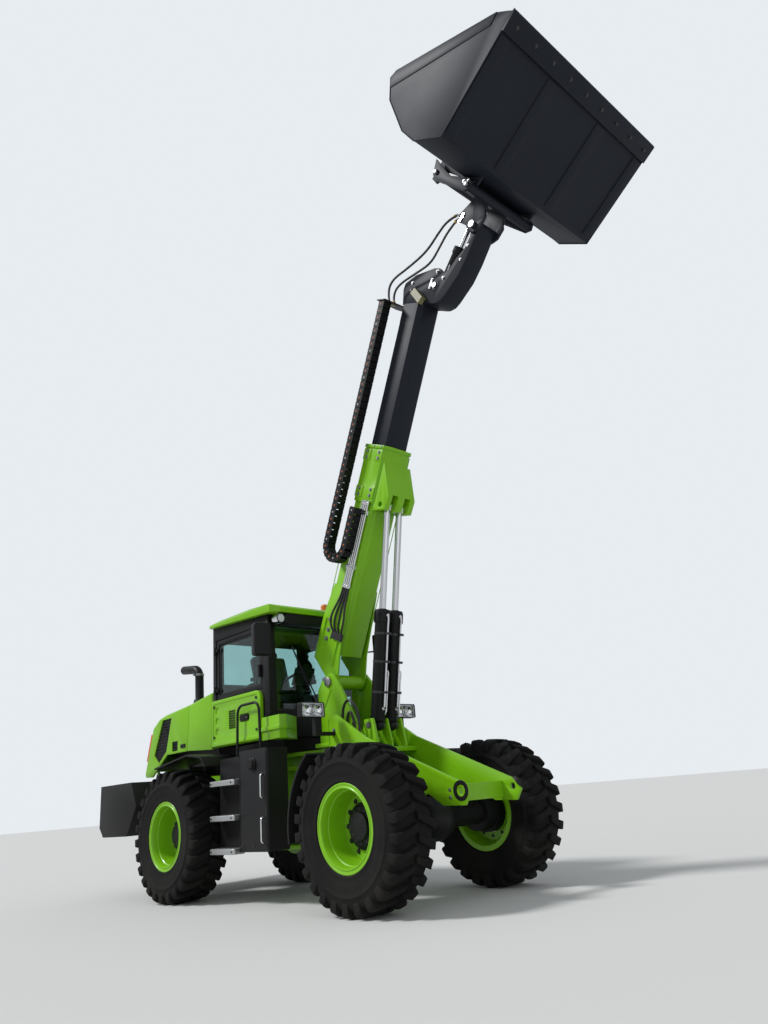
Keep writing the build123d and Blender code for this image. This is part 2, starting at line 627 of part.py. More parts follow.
    px0, px1 = PANEL_X
    pz0, pz1 = PANEL_Z
    face = h + PANEL_T
    panel = block(px0, px1, h + gap, face, pz0, pz1)
    corner = panel.edges().filter_by(lambda e: abs(e.center().X - px1) < 1 and abs(e.center().Z - pz1) < 1)
    panel = fillet(corner, 85)
    recess = block(px0 + 26, px1 - 48, face - 6, face + 5, pz0 + 52, pz1 - 40)
    panel = panel - fillet(recess.edges().filter_by(Axis.Y), 40)
    panel = chamfer(panel.edges().filter_by(lambda e: e.center().Z < pz0 + 1 and e.center().Y > face - 1), 18)
    for z in (1710, 1826, 1940):
        panel = panel - cross_pin((px0 + 110, z), 40, face - 15, face + 5)
    panel = panel - block(-800, -670, face - 20, face + 5, 1717, 1916)
    panel = panel - fillet(block(-590, -400, face - 20, face + 5, 1764, 1851).edges().filter_by(Axis.Y), 30)
    nodes["side_panel_right"] = mirror(panel, about=Plane.XZ)
    rail_y = -face - 60
    rail_z = pz1 - 135
    rail = bent_tube([(-540, rail_y, TANK_Z[1] - 34), (-522, rail_y, rail_z), (-122, rail_y, rail_z),
                      (-106, rail_y, TANK_Z[1] + 6)], 95, RAIL_R)
    for x, z in ((-540, TANK_Z[1] - 40 + gap), (-106, TANK_Z[1] + gap)):
        rail = rail + Pos(x, rail_y, z) * Cylinder(30, 10, align=(Align.CENTER, Align.CENTER, Align.MIN))
    grips = []
    grip_x = TANK_X[1] - 65
    grip_y = TANK_Y[1] + gap
    for low, high in ((978, 1194), (573, 796)):
        for side in (-1, 1):
            near, far = side * grip_y, side * (grip_y + 34)
            points = [(grip_x, near, low), (grip_x, far, low), (grip_x, far, high), (grip_x, near, high)]
            grips += bent_tube(points, 22, 10).solids()
    # The left door swings where a second rail would stand, so only the right side has one
    nodes["handrails"] = Compound([*rail.solids(), *grips])

    nose_x = x1 + SHAFT_GAP
    boxes = []
    # Bottom and top of each band, and how far it stands back from the ridge
    for low, high, back in ((1530, 1620, 16), (1620, 1660, 0), (1660, 1765, 12)):
        y = 705 - back
        ahead = [(nose_x, y), (150 - back, y), (175 - back, 620), (-45, 335), (nose_x, 335)]
        cheek = [(px1 + gap, y), (nose_x, y), (nose_x, h + SHAFT_GAP), (px1 + gap, h + SHAFT_GAP)]
        boxes.append((plan(ahead, low, high), plan(cheek, low, high)))
    left_box = fused(*[band[0] for band in boxes])
    right_box = fused(*[part for band in boxes for part in band])
    nodes["front_boxes"] = Compound([*left_box.solids(), *mirror(right_box, about=Plane.XZ).solids()])

    cushion = fillet(block(-960, -480, -250, 250, 1960, 2080).edges(), 34)
    back = prism(SIDE, [(-930, 2040), (-1085, 2560), (-980, 2590), (-830, 2060)], -230, 230)
    back = fillet(back.edges().filter_by(lambda e: e.center().Z > 2100), 34)
    rest = fillet(block(-1078, -1008, -130, 130, 2570, 2650).edges().filter_by(Axis.X), 34)
    nodes["seat"] = fused(cushion, back, rest, block(-1055, -1030, -50, 50, 2540, 2600),
                          block(-900, -560, -180, 180, z0 + 40 + gap, 1970))
    hub = (-430, 0, 2200)
    turned = Plane(origin=hub, z_dir=(-0.42, 0, 0.91))
    section = [(190 + 15 * cos(radians(a)), 15 * sin(radians(a))) for a in range(0, 360, 45)]
    rim = revolve(Plane.XZ * make_face(Polyline(*section, close=True)), axis=Axis.Z, revolution_arc=360)
    spokes = turned * (Box(380, 28, 12) + Cylinder(46, 34))
    column = fused(bar((-330, 0, z0 + 60), hub, 42), block(-420, -280, -70, 70, z0 + 40 + gap, z0 + 70),
                   prism(SIDE, [(-300, 2160), (-250, 2330), (-330, 2345), (-420, 2160)], -110, 110))
    nodes["steering_column"] = fused(column, spokes, turned * rim)
    floor_z = z0 + 40 + gap
    console = prism(SIDE, [(-900, floor_z), (-900, 2150), (-560, 2190), (-470, 2150), (-420, floor_z)], -560, -330)
    nodes["console_right"] = fillet(console.edges().filter_by(lambda e: e.center().Z > 2100), 16)


def make_front_frame():
    """Front chassis, its axle, mudguards and lamp brackets."""
    half = FRAME_HALF
    side_outline = [
        (520, 620), (520, 1680), (640, 1700), (1050, 1440), (2200, 960), (2290, 860), (2230, 770),
        (1990, 780), (1800, 900), (1680, AXLE_Z + AXLE_SEAT_H), (1350, AXLE_Z + AXLE_SEAT_H), (1200, 620),
    ]
    inner = half - SIDE_PLATE
    sides = mirrored(prism(SIDE, side_outline, inner, half) - cross_pin(NOSE_PIN, NOSE_HOLE_R, 0, half + 1))
    nodes["front_side_plates"] = sides
    tower_outline = [
        (TOWER_X[0], DECK_Z[1]), (TOWER_X[0], 1990), (330, 2110), (480, 2150), (560, 2060), (900, DECK_Z[1]),
    ]
    tower = prism(SIDE, tower_outline, *TOWER_Y) - cross_pin(BOOM_PIN, BOOM_PIN_R + SHAFT_GAP, 0, half)
    tower = tower - prism(SIDE, [(330, 1800), (455, 1985), (560, 1790)], TOWER_Y[1] - 8, TOWER_Y[1] + 1)
    nodes["boom_towers"] = mirrored(tower)
    frame = fused(
        block(520, 560, -inner, inner, LOWER_FORK_Z, DECK_Z[1]),
        block(TOWER_X[0], 560, -half + 40, half - 40, *DECK_Z),
        block(560, 900, -inner, inner, *DECK_Z),
        block(840, 1060, -inner, inner, 1300, 1345),
    )
    for y0, y1 in ((175, 205), (-10, 10), (-205, -175)):
        x, z = LIFT_BASE_PIN
        ear_outline = [(x - 110, 1435), (x - 60, z + 60), (x + 60, z + 60), (x + 110, 1380), (x + 110, 1300),
                       (x - 110, 1410)]
        frame = frame + prism(SIDE, ear_outline, y0, y1)
    for z in (LOWER_FORK_Z, UPPER_FORK_Z):
        low = z + FORK_PLATE + LUG_CLEAR
        high = z + FORK_PLATE + FORK_GAP - LUG_CLEAR
        frame = frame + fork_plate(low, high, 525)
        frame = frame - pivot_hole(low - 1, high + 1, PIVOT_R)
    nodes["front_chassis"] = frame - cross_pin(LIFT_BASE_PIN, LIFT_PIN_R + SHAFT_GAP, -half, half)
    seat_z = AXLE_Z + AXLE_SEAT_H
    nodes["front_crossbeams"] = Compound([
        block(FRONT_X - 60, FRONT_X + 60, -inner, inner, seat_z, seat_z + 60),
        block(2060, 2100, -inner, inner, 800, 940),
    ])
    nodes["frame_pins"] = Compound([
        cross_pin(BOOM_PIN, BOOM_PIN_R, -TOWER_Y[1] - 12, TOWER_Y[1] + 12),
        cross_pin(LIFT_BASE_PIN, LIFT_PIN_R, -210, 210),
    ])
    nodes["front_axle"] = make_axle(FRONT_X)

    outer_r, inner_r = 800, 780
    ring = Plane.XZ * (Circle(outer_r) - Circle(inner_r))
    guard = Pos(FRONT_X, 1060, AXLE_Z) * extrude(ring, amount=440)
    keep = prism(SIDE, [(FRONT_X, AXLE_Z), (900, 1480), (500, 1700), (500, 500), (700, 560)], 600, 1100)
    guard = guard & keep
    arm = block(955, 1025, half + SEAT_GAP, 640, 1240, 1280)
    nodes["front_fenders"] = mirrored(guard + arm)
    lamp_x = (565, 640)
    lamp_y = (498, 782)
    lamp_z = (1672, 1818)
    shroud = block(*lamp_x, *lamp_y, *lamp_z)
    shroud = fillet(shroud.edges().filter_by(Axis.X), 20)
    wall = 6
    shroud = shroud - block(lamp_x[0] + 12, lamp_x[1] + 1, lamp_y[0] + wall, lamp_y[1] - wall,
                            lamp_z[0] + wall, lamp_z[1] - wall)
    post = block(lamp_x[0] + 5, lamp_x[0] + 55, lamp_y[0] + 30, lamp_y[0] + 110, 1520, lamp_z[0] + 3)
    arm = block(lamp_x[0] + 5, lamp_x[0] + 55, half + SEAT_GAP, lamp_y[0] + 110, 1500, 1535)
    nodes["lamp_brackets"] = mirrored(fused(shroud, post, arm))
    inset = wall + SEAT_GAP
    lamp = block(lamp_x[0] + 12 + SEAT_GAP, lamp_x[1] - 10, lamp_y[0] + inset, lamp_y[1] - inset,
                 lamp_z[0] + inset, lamp_z[1] - inset)
    nodes["headlamps"] = mirrored(fillet(lamp.edges().filter_by(Axis.X), 26))


def make_boom():
    """Outer boom with its base plates and collar, inner boom and its gooseneck head."""
    t0, t1 = TUBE_T
    outer = tube_section(t0, t1, TUBE_HALF, TUBE_CHAMFER)
    bore = tube_section(t0 + TUBE_WALL, t1 - TUBE_WALL, TUBE_HALF - TUBE_WALL, TUBE_CHAMFER - 5)
    tube = boom_extrusion(outer, BOOM_BASE_S + 130, COLLAR_S[1] - 10) - boom_extrusion(
        bore, BOOM_BASE_S + 150, COLLAR_S[1])
    base_outline = [
        (-55, -20), (-40, 70), (20, 120), (165, 395), (640, 395), (1000, 330), (1000, 60), (300, -10),
        (60, -75), (-20, -70),
    ]
    plates = mirrored(prism(BOOM, base_outline, TUBE_HALF, TUBE_HALF + 18))
    boss = cross_pin(BOOM_PIN, 75, -TUBE_HALF - 18, TUBE_HALF + 18)
    ribs = []
    # Where each rib of the base starts and ends along the boom, and its height on the plate
    for s0, s1, t in ((150, 620, 330), (150, 560, 60), (420, 440, 200)):
        ribs += mirrored(prism(BOOM, [(s0, t - 7), (s1, t - 7), (s1, t + 7), (s0, t + 7)],
                               TUBE_HALF + 17, TUBE_HALF + 34)).solids()
    tube = fused(tube, *plates.solids(), boss, *ribs)
    tube = tube - cross_pin(BOOM_PIN, BOOM_PIN_R + SHAFT_GAP, -260, 260)
    nodes["outer_boom"] = tube

    wide = TUBE_HALF + 14
    sleeve = tube_section(t0 - 14, t1 + 14, wide, TUBE_CHAMFER + 4)
    ring = boom_extrusion(sleeve, COLLAR_S[0] + 60, COLLAR_S[1])
    ring = ring - boom_extrusion(tube_section(t0, t1, TUBE_HALF, TUBE_CHAMFER), COLLAR_S[0], COLLAR_S[1] + 1)
    slot = prism(BOOM, [(COLLAR_S[0] - 60, 0), (COLLAR_S[0] + 190, 0), (COLLAR_S[0] + 190, -300),
                        (COLLAR_S[0] - 60, -300)], LIFT_Y - 42, LIFT_Y + 42)
    bracket = prism(BOOM, [(COLLAR_S[0] - 10, -0.3), (COLLAR_S[0] + 30, -190), (COLLAR_S[0] + 180, -200),
                           (COLLAR_S[0] + 520, -13), (COLLAR_S[0] + 61, -13), (COLLAR_S[0] + 61, -0.3)],
                    -wide, wide)
    bracket = bracket - slot - mirror(slot, about=Plane.XZ)
    bracket = bracket - cross_pin(LIFT_ROD_PIN, 30 + SHAFT_GAP, -260, 260)
    for s_pad in (COLLAR_S[0] + 110, COLLAR_S[1] - 170):
        for t_pad in (40, 230):
            s_end, t_end = s_pad + 120, t_pad + 110
            pad = prism(BOOM, [(s_pad, t_pad), (s_end, t_pad), (s_end, t_end), (s_pad, t_end)], wide - 1, wide + 8)
            ring = ring + mirror(pad, about=Plane.XZ) + pad
    cap_s = COLLAR_S[1] - 34
    cuff = boom_extrusion(tube_section(t0 - 26, t1 + 26, wide + 12, TUBE_CHAMFER + 8), cap_s, COLLAR_S[1])
    cuff = cuff - boom_extrusion(tube_section(t0, t1, TUBE_HALF, TUBE_CHAMFER), cap_s - 1, COLLAR_S[1] + 1)
    nodes["boom_collar"] = ring + bracket + cuff
    make_chain(wide)

    g = SLIDE_GAP
    inner = tube_section(t0 + TUBE_WALL + g, t1 - TUBE_WALL - g, TUBE_HALF - TUBE_WALL - g, TUBE_CHAMFER - 6)
    deep = TUBE_WALL + g + 10
    inner_bore = tube_section(t0 + deep, t1 - deep, TUBE_HALF - deep, TUBE_CHAMFER - 10)
    inner_tube = boom_extrusion(inner, INNER_TAIL_S, INNER_TIP_S) - boom_extrusion(
        inner_bore, INNER_TAIL_S - 1, INNER_TIP_S + 1)
    pad = boom_extrusion(
        [(-110, t1 - TUBE_WALL - g), (110, t1 - TUBE_WALL - g), (110, t1 - TUBE_WALL - 0.5),
         (-110, t1 - TUBE_WALL - 0.5)], INNER_TAIL_S + 10, INNER_TAIL_S + 130)
    pad_low = boom_extrusion(
        [(-110, t0 + TUBE_WALL + 0.5), (110, t0 + TUBE_WALL + 0.5), (110, t0 + TUBE_WALL + g),
         (-110, t0 + TUBE_WALL + g)], INNER_TAIL_S + 10, INNER_TAIL_S + 130)
    nodes["inner_boom"] = fused(inner_tube, pad, pad_low)

    # Side view of the gooseneck, from the boom's upper face to the pin and back along its lower edge
    head_outline = [
        boom_point(INNER_TIP_S + SEAT_GAP, t1 - 20), (1950, 6130), (1990, 6190), (2150, 6200), (2430, 6120),
        (2500, 6075), (2551, 5985), (2622, 5990), (2733, 6060), (2851, 6105), (2935, 6190), (2965, 6250),
        (3020, 6270), (3068, 6232), (2960, 6105), (2860, 5985), (2720, 5850), (2520, 5728), (2450, 5700),
        (2374, 5708), (2340, 5725), boom_point(INNER_TIP_S + SEAT_GAP, t0 + 10),
    ]
    head = prism(SIDE, head_outline, -HEAD_HALF, HEAD_HALF) + cross_pin(HEAD_PIN, 64, -HEAD_HALF, HEAD_HALF)
    for side in (-1, 1):
        y = sorted((side * (HEAD_HALF - 1), side * (HEAD_HALF + 4)))
        head = head + cross_pin(TILT_BASE_PIN, 62, *y)
    pocket = prism(SIDE, [(2250, 5860), (2180, 6300), (2950, 7000), (3060, 6700), (2900, 6290), (2600, 5930),
                          (2470, 5830)], -HEAD_HALF + EAR_T + 6, HEAD_HALF - EAR_T - 6)
    head = head - pocket
    head = head - cross_pin(HEAD_PIN, 36 + SHAFT_GAP, -200, 200)
    nodes["boom_head"] = head - cross_pin(TILT_BASE_PIN, 30 + SHAFT_GAP, -200, 200)
    nodes["head_pins"] = Compound([cross_pin(HEAD_PIN, 36, -190, 190), cross_pin(TILT_BASE_PIN, 30, -140, 140)])


def make_chain(wide):
    """The pipes beside the boom, the energy chain that follows the inner boom, and its end bracket."""
    pipes = []
    for i in range(4):
        start = BOOM.from_local_coords((PIPE_S[0], 70 + i * 30, wide + 16))
        section = Plane(origin=start, z_dir=BOOM.x_dir)
        pipes.append(extrude(section * Circle(PIPE_R), amount=PIPE_S[1] - PIPE_S[0]))
    clamps = []
    clamp_y = (-TUBE_HALF - SEAT_GAP, CHAIN_Y + CHAIN_W / 2 + SEAT_GAP)
    for s in (PIPE_S[0] + 170, PIPE_S[1] - 120):
        clamp = [(clamp_y[0], 62), (clamp_y[1], 62), (clamp_y[1], 168), (clamp_y[0], 168)]
        clamps.append(boom_extrusion(clamp, s, s + 45))
    nodes["boom_pipes"] = fused(*pipes, *clamps)

    y0, y1 = CHAIN_Y - CHAIN_W / 2, CHAIN_Y + CHAIN_W / 2
    s0 = CHAIN_BEND_S
    fixed_t, moving_t = CHAIN_RUN_T
    mid_t = (fixed_t + moving_t) / 2
    bend_r = (moving_t - fixed_t) / 2
    core = CHAIN_T / 2 - 14
    outer, inner = [], []
    for i in range(13):
        a = radians(i * 15)
        outer.append((s0 - (bend_r + core) * sin(a), mid_t + (bend_r + core) * cos(a)))
        inner.insert(0, (s0 - (bend_r - core) * sin(a), mid_t + (bend_r - core) * cos(a)))
    end_s = INNER_TIP_S - 18 - SEAT_GAP
    band = [(end_s, moving_t + core), *outer, (CHAIN_FIXED_S, fixed_t - core), (CHAIN_FIXED_S, fixed_t + core),
            *inner, (end_s, moving_t - core)]
    chain = prism(BOOM, band, y0 + 8, y1 - 8)
    # Middle of each link along and above the boom, and its direction
    links = []
    for run_t, run_end in ((moving_t, end_s), (fixed_t, CHAIN_FIXED_S)):
        for i in range(int((run_end - s0) / CHAIN_PITCH)):
            links.append((s0 + CHAIN_PITCH * (i + 0.5), run_t, 0))
    for i in range(6):
        a = 15 + 30 * i
        links.append((s0 - bend_r * sin(radians(a)), mid_t + bend_r * cos(radians(a)), 180 - a))
    plates = []
    long = CHAIN_PITCH / 2 - 4
    high = CHAIN_T / 2
    for s, t, turn in links:
        c, n = cos(radians(turn)), sin(radians(turn))
        box = ((-long, -high), (long, -high), (long, high), (-long, high))
        corners = [(s + u * c - v * n, t + u * n + v * c) for u, v in box]
        plates.append(prism(BOOM, corners, y0, y1))
    nodes["energy_chain"] = chain.fuse(*plates)

    seat_t = TUBE_T[1] - TUBE_WALL - SLIDE_GAP + SEAT_GAP
    foot = [(-104, seat_t), (40, seat_t), (40, seat_t + 16), (-104, seat_t + 16)]
    plate = [(y0 - 10, moving_t - 60), (-60, seat_t + 8), (40, seat_t + 8), (40, moving_t + 20),
             (-60, moving_t + 70), (y0 - 10, moving_t + 70)]
    foot = boom_extrusion(foot, INNER_TIP_S - 190, INNER_TIP_S - 4)
    nodes["chain_bracket"] = foot + boom_extrusion(plate, INNER_TIP_S - 18, INNER_TIP_S - 4)


def cylinder_pair(base, end, barrel_l, barrel_r, casting_l, rod_r, rod_inside, y_offsets, eye_half, pin_r,
                  base_pin_r):
    """Barrels and rods between two pins, one for each distance to the side."""
    barrels = []
    rods = []
    length = hypot(end[0] - base[0], end[1] - base[1])
    for y in y_offsets:
        foot = toward(base, end, base_pin_r + 10)
        head = toward(base, end, barrel_l)
        start_bore = toward(base, end, base_pin_r + BARREL_FOOT)
        barrel = fused(
            bar((foot[0], y, foot[1]), (head[0], y, head[1]), barrel_r),
            cross_pin(base, base_pin_r + 26, y - eye_half, y + eye_half),
        )
        barrel = barrel - bar((start_bore[0], y, start_bore[1]), (toward(base, end, barrel_l + 5)[0], y,
                              toward(base, end, barrel_l + 5)[1]), rod_r + 8)
        barrel = barrel - cross_pin(base, base_pin_r + SHAFT_GAP, y - eye_half - 5, y + eye_half + 5)
        cap_in = toward(base, end, barrel_l - 40)
        cap_out = toward(base, end, barrel_l)
        cap = bar((cap_in[0], y, cap_in[1]), (cap_out[0], y, cap_out[1]), rod_r + 9)
        cap = cap - bar((cap_in[0], y, cap_in[1]), (toward(base, end, barrel_l + 5)[0], y,
                        toward(base, end, barrel_l + 5)[1]), rod_r + SHAFT_GAP)
        casting_in = toward(base, end, barrel_l - casting_l)
        casting = bar((casting_in[0], y, casting_in[1]), (cap_out[0], y, cap_out[1]), barrel_r + 9)
        casting = casting - bar((casting_in[0], y, casting_in[1]), (toward(base, end, barrel_l + 5)[0], y,
                                toward(base, end, barrel_l + 5)[1]), rod_r + 8)
        barrels.append(fused(barrel, casting, cap))
        tail = toward(base, end, barrel_l - rod_inside)
        eye_end = toward(base, end, length - pin_r - 8)
        rod = fused(
            bar((tail[0], y, tail[1]), (eye_end[0], y, eye_end[1]), rod_r),
            cross_pin(end, pin_r + 24, y - eye_half, y + eye_half),
        )
        rods.append(rod - cross_pin(end, pin_r + SHAFT_GAP, y - eye_half - 5, y + eye_half + 5))
    return Compound(barrels), Compound(rods)


def make_cylinders():
    nodes["lift_barrels"], nodes["lift_rods"] = cylinder_pair(
        LIFT_BASE_PIN, LIFT_ROD_PIN, LIFT_BARREL_L, LIFT_R, 130, LIFT_ROD_R, LIFT_ROD_INSIDE,
        (-LIFT_Y, LIFT_Y), 36, 30, LIFT_PIN_R)
    nodes["tilt_barrel"], tilt_rod = cylinder_pair(
        TILT_BASE_PIN, TILT_ROD_PIN, TILT_BARREL_L, TILT_R, 70, TILT_ROD_R, TILT_ROD_INSIDE, (0,), 40, 28, 30)
    pin_half = HEAD_HALF + EAR_SIDE_GAP - SEAT_GAP
    nodes["tilt_rod"] = tilt_rod + cross_pin(TILT_ROD_PIN, 28 + SHAFT_GAP, -pin_half, pin_half)


def in_bucket(place):
    """A side view place as distances along and above the bucket's floor."""
    c, n = cos(radians(FLOOR_PITCH)), sin(radians(FLOOR_PITCH))
    x, z = place[0] - BUCKET_HEEL[0], place[1] - BUCKET_HEEL[1]
    return (x * c + z * n, z * c - x * n)


def make_bucket():
    """Coupler frame, bucket shell and its cutting edge."""
    heel_side = 500
    ear_y = (HEAD_HALF + EAR_SIDE_GAP, HEAD_HALF + EAR_SIDE_GAP + EAR_T)
    ear = prism(SIDE, [(2840, 6440), (2870, 6510), (2950, 6530), (3060, 6560), (3200, 6420), (3180, 6260),
                       (3090, 6190), (3000, 6190), (2950, 6240), (2930, 6330)], *ear_y)
    ear = ear - cross_pin(HEAD_PIN, 36 + SHAFT_GAP, 0, 300)
    side_plate = prism(SIDE, [(2935, 6990), (2865, 6840), (2890, 6740), (3210, 6370), (3290, 6350),
                              (3325, 6410), (3300, 6470), (3080, 6660), (2990, 6860)], heel_side - 25, heel_side)
    tube_low = cross_pin(LOCK_TUBE, COUPLER_TUBE_R, -heel_side, heel_side)
    tube_high = cross_pin(HOOK_TUBE, COUPLER_TUBE_R, -heel_side, heel_side)
    rise = hypot(LOCK_TUBE[0] - HOOK_TUBE[0], LOCK_TUBE[1] - HOOK_TUBE[1])
    down = ((LOCK_TUBE[0] - HOOK_TUBE[0]) / rise, 0, (LOCK_TUBE[1] - HOOK_TUBE[1]) / rise)
    web_plane = Plane(origin=(HOOK_TUBE[0], 0, HOOK_TUBE[1]), x_dir=down, z_dir=(0, -1, 0))
    slim = prism(web_plane, [(0, -14), (rise, -14), (rise, 14), (0, 14)], -heel_side + 10, heel_side - 10)
    web_room = prism(web_plane, [(0, -14 - SEAT_GAP), (rise, -14 - SEAT_GAP), (rise, 14 + SEAT_GAP),
                                 (0, 14 + SEAT_GAP)], -heel_side + 10, heel_side - 10)
    link = prism(SIDE, [(3040, 6480), (3060, 6560), (3120, 6620), (3260, 6450), (3200, 6330)], *ear_y)
    frame = fused(slim, tube_low, tube_high, side_plate, mirror(side_plate, about=Plane.XZ),
                  ear, mirror(ear, about=Plane.XZ), link, mirror(link, about=Plane.XZ))
    nodes["coupler"] = frame

    p = BUCKET_PLATE
    half = BUCKET_HALF
    lip = FLOOR_L - 20
    # Back of the bucket from its upper rim down to the heel
    back = [(237, 1272), (56, 1083), (-126, 620), (-149, 357), (0, 0)]
    shell = prism(BUCKET, plate_outline([*back, (lip, 0)], p), -half, half)
    mouth = [(lip, 0), (1100, 60), (1063, 198), (318, 1233)]
    cheek = prism(BUCKET, [*mouth, *back], half - p, half)
    rim = [(954, 186), (1063, 198), (318, 1233), (237, 1272), (159, 1184)]
    cheek = cheek + prism(BUCKET, rim, half - 1, half + 7)
    hook_u, hook_v = in_bucket(HOOK_TUBE)
    lock_u, lock_v = in_bucket(LOCK_TUBE)
    hook = prism(BUCKET, [(-50, 150), (-143, 357), (-120, 620), (-26, 860), (hook_u - 75, hook_v + 115),
                          (hook_u - 90, hook_v + 15), (hook_u - 48, hook_v - 15), (hook_u, hook_v),
                          (hook_u + 62, hook_v - 66), (lock_u + 55, lock_v + 77), (lock_u, lock_v),
                          (lock_u + 58, lock_v - 43)], 400, 425)
    hook = hook - cross_pin(HOOK_TUBE, COUPLER_TUBE_R + SEAT_GAP, 390, 440)
    hook = hook - cross_pin(LOCK_TUBE, COUPLER_TUBE_R + SEAT_GAP, 390, 440) - web_room
    hook = max(hook.solids(), key=lambda piece: piece.volume)
    bucket = fused(shell, cheek, mirror(cheek, about=Plane.XZ), hook, mirror(hook, about=Plane.XZ))
    for y0, y1 in ((half - 150, half - 10), (330, 470)):
        wear = prism(BUCKET, [(40, 1), (lip - EDGE_L, 1), (lip - EDGE_L, -12), (60, -12)], y0, y1)
        bucket = bucket + wear + mirror(wear, about=Plane.XZ)
    nodes["bucket"] = bucket
    edge_s = FLOOR_L - EDGE_L
    edge_outline = [(edge_s, -SEAT_GAP), (FLOOR_L, -SEAT_GAP), (FLOOR_L - 12, -EDGE_T), (edge_s, -EDGE_T)]
    nodes["cutting_edge"] = prism(BUCKET, edge_outline, -half - 6, half + 6)


def write_parts():
    os.makedirs("parts", exist_ok=True)
    for name, shape in nodes.items():
        solids = shape.solids()
        body = solids[0] if len(solids) == 1 else Compound(list(solids))
        export_step(Pos(-ORIGIN_X, 0, 0) * body, "parts/" + name + ".step")


make_wheels()
make_rear_frame()
make_hood()
make_cab()
make_front_frame()
make_boom()
make_cylinders()
make_bucket()
write_parts()
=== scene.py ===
"""Finish and fittings of an articulated telescopic wheel loader, around its fixed frame."""
import json
import math
from itertools import product

import bmesh
import bpy
from mathutils import Euler, Matrix, Vector


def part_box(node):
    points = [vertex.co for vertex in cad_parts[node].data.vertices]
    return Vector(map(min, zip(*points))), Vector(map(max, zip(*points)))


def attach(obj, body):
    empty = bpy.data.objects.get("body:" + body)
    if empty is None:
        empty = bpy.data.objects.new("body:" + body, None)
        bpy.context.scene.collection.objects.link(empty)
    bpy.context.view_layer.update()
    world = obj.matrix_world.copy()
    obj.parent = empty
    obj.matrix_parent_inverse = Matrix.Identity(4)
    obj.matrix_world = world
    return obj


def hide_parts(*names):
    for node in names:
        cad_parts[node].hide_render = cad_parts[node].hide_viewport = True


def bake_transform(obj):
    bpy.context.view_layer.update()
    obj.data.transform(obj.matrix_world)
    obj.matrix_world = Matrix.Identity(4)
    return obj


bl_info = {
    "name": "Telescopic loader finish",
    "version": (1, 0, 0),
    "blender": (4, 5, 0),
    "location": "View3D > Sidebar > Loader",
    "description": "Paint, glass, rubber and fittings of an articulated telescopic wheel loader",
    "category": "Object",
}

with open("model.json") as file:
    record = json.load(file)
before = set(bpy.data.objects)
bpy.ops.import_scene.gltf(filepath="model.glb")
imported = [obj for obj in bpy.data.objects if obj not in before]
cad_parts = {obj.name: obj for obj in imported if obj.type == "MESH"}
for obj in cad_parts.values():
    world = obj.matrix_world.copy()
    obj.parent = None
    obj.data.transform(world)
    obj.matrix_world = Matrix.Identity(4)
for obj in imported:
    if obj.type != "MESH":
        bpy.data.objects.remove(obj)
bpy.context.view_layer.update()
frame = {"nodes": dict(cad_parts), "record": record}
NODES = frame["nodes"]
RECORD = frame["record"]
BODY_NODES = RECORD["behaviour"]["bodies"]
NODE_SLOTS = {part["node"]: part["material_slot"] for part in RECORD["subparts"]}
WHEELS = ("front_left", "front_right", "rear_left", "rear_right")

# Places below are measured from the steering pivot's line, in metres
PIVOT_X = next(j for j in RECORD["behaviour"]["joints"] if j["name"] == "steering")["pos_m"][0]
BOOM_PIN = (0.42, 2.06)
BOOM_ANGLE = math.radians(64)
BUCKET_HEEL = (3.537, 6.357)
BUCKET_ANGLE = math.radians(34)
UPRIGHT = math.radians(-90)


# Settings

class PaintSettings(bpy.types.PropertyGroup):
    green: bpy.props.FloatVectorProperty(
        name="Green paint", description="Body colour", subtype="COLOR", size=3, default=(0.20, 0.495, 0.005))
    black: bpy.props.FloatVectorProperty(
        name="Black paint", description="Satin black of tanks and frames", subtype="COLOR", size=3,
        default=(0.008, 0.008, 0.009))
    # Dark paint colour whose blue tint is a painted reflection of the sky on the inner boom and bucket.
    boom_black: bpy.props.FloatVectorProperty(
        name="Boom black", description="Gloss blue-black of the inner boom and bucket", subtype="COLOR", size=3,
        default=(0.012, 0.015, 0.023))
    dust: bpy.props.FloatProperty(
        name="Dust", description="How much dust lies on the low parts", default=0.14, min=0, max=1)


class CameraSettings(bpy.types.PropertyGroup):
    place: bpy.props.FloatVectorProperty(
        name="Place", description="Where the camera stands, from the steering pivot's line", subtype="XYZ",
        unit="LENGTH", size=3, default=(6.73503, -5.43308, 0.90492))
    yaw: bpy.props.FloatProperty(
        name="Yaw", description="Turn to the left of +Y", subtype="ANGLE", default=math.radians(45.4574))
    pitch: bpy.props.FloatProperty(
        name="Pitch", description="How far the camera looks up", subtype="ANGLE", default=math.radians(20.21))
    roll: bpy.props.FloatProperty(
        name="Roll", description="Turn about the line of sight", subtype="ANGLE", default=math.radians(-4.9441))
    lens: bpy.props.FloatProperty(
        name="Lens", description="Focal length for a 36 mm sensor", unit="CAMERA", default=26.917)


# Places

def at(x, y, z):
    """A place measured from the steering pivot's line, in the row frame."""
    return Vector((x + PIVOT_X, y, z))


def tilted(pin, angle):
    """The frame of a part that is drawn along its own length, in side view."""
    turn = Matrix.Rotation(-angle, 4, "Y")
    return Matrix.Translation(at(pin[0], 0, pin[1])) @ turn


LOADER = Matrix.Translation((PIVOT_X, 0, 0))
BOOM = tilted(BOOM_PIN, BOOM_ANGLE)
BUCKET = tilted(BUCKET_HEEL, BUCKET_ANGLE)


def facing(point, direction):
    """A frame at a point whose Z axis looks in a direction."""
    turn = Vector(direction).to_track_quat("Z", "Y").to_matrix().to_4x4()
    return Matrix.Translation(Vector(point)) @ turn


# Mesh helpers

def linked(name, data):
    """A new object in the scene, around its data."""
    obj = bpy.data.objects.new(name, data)
    bpy.context.scene.collection.objects.link(obj)
    return obj


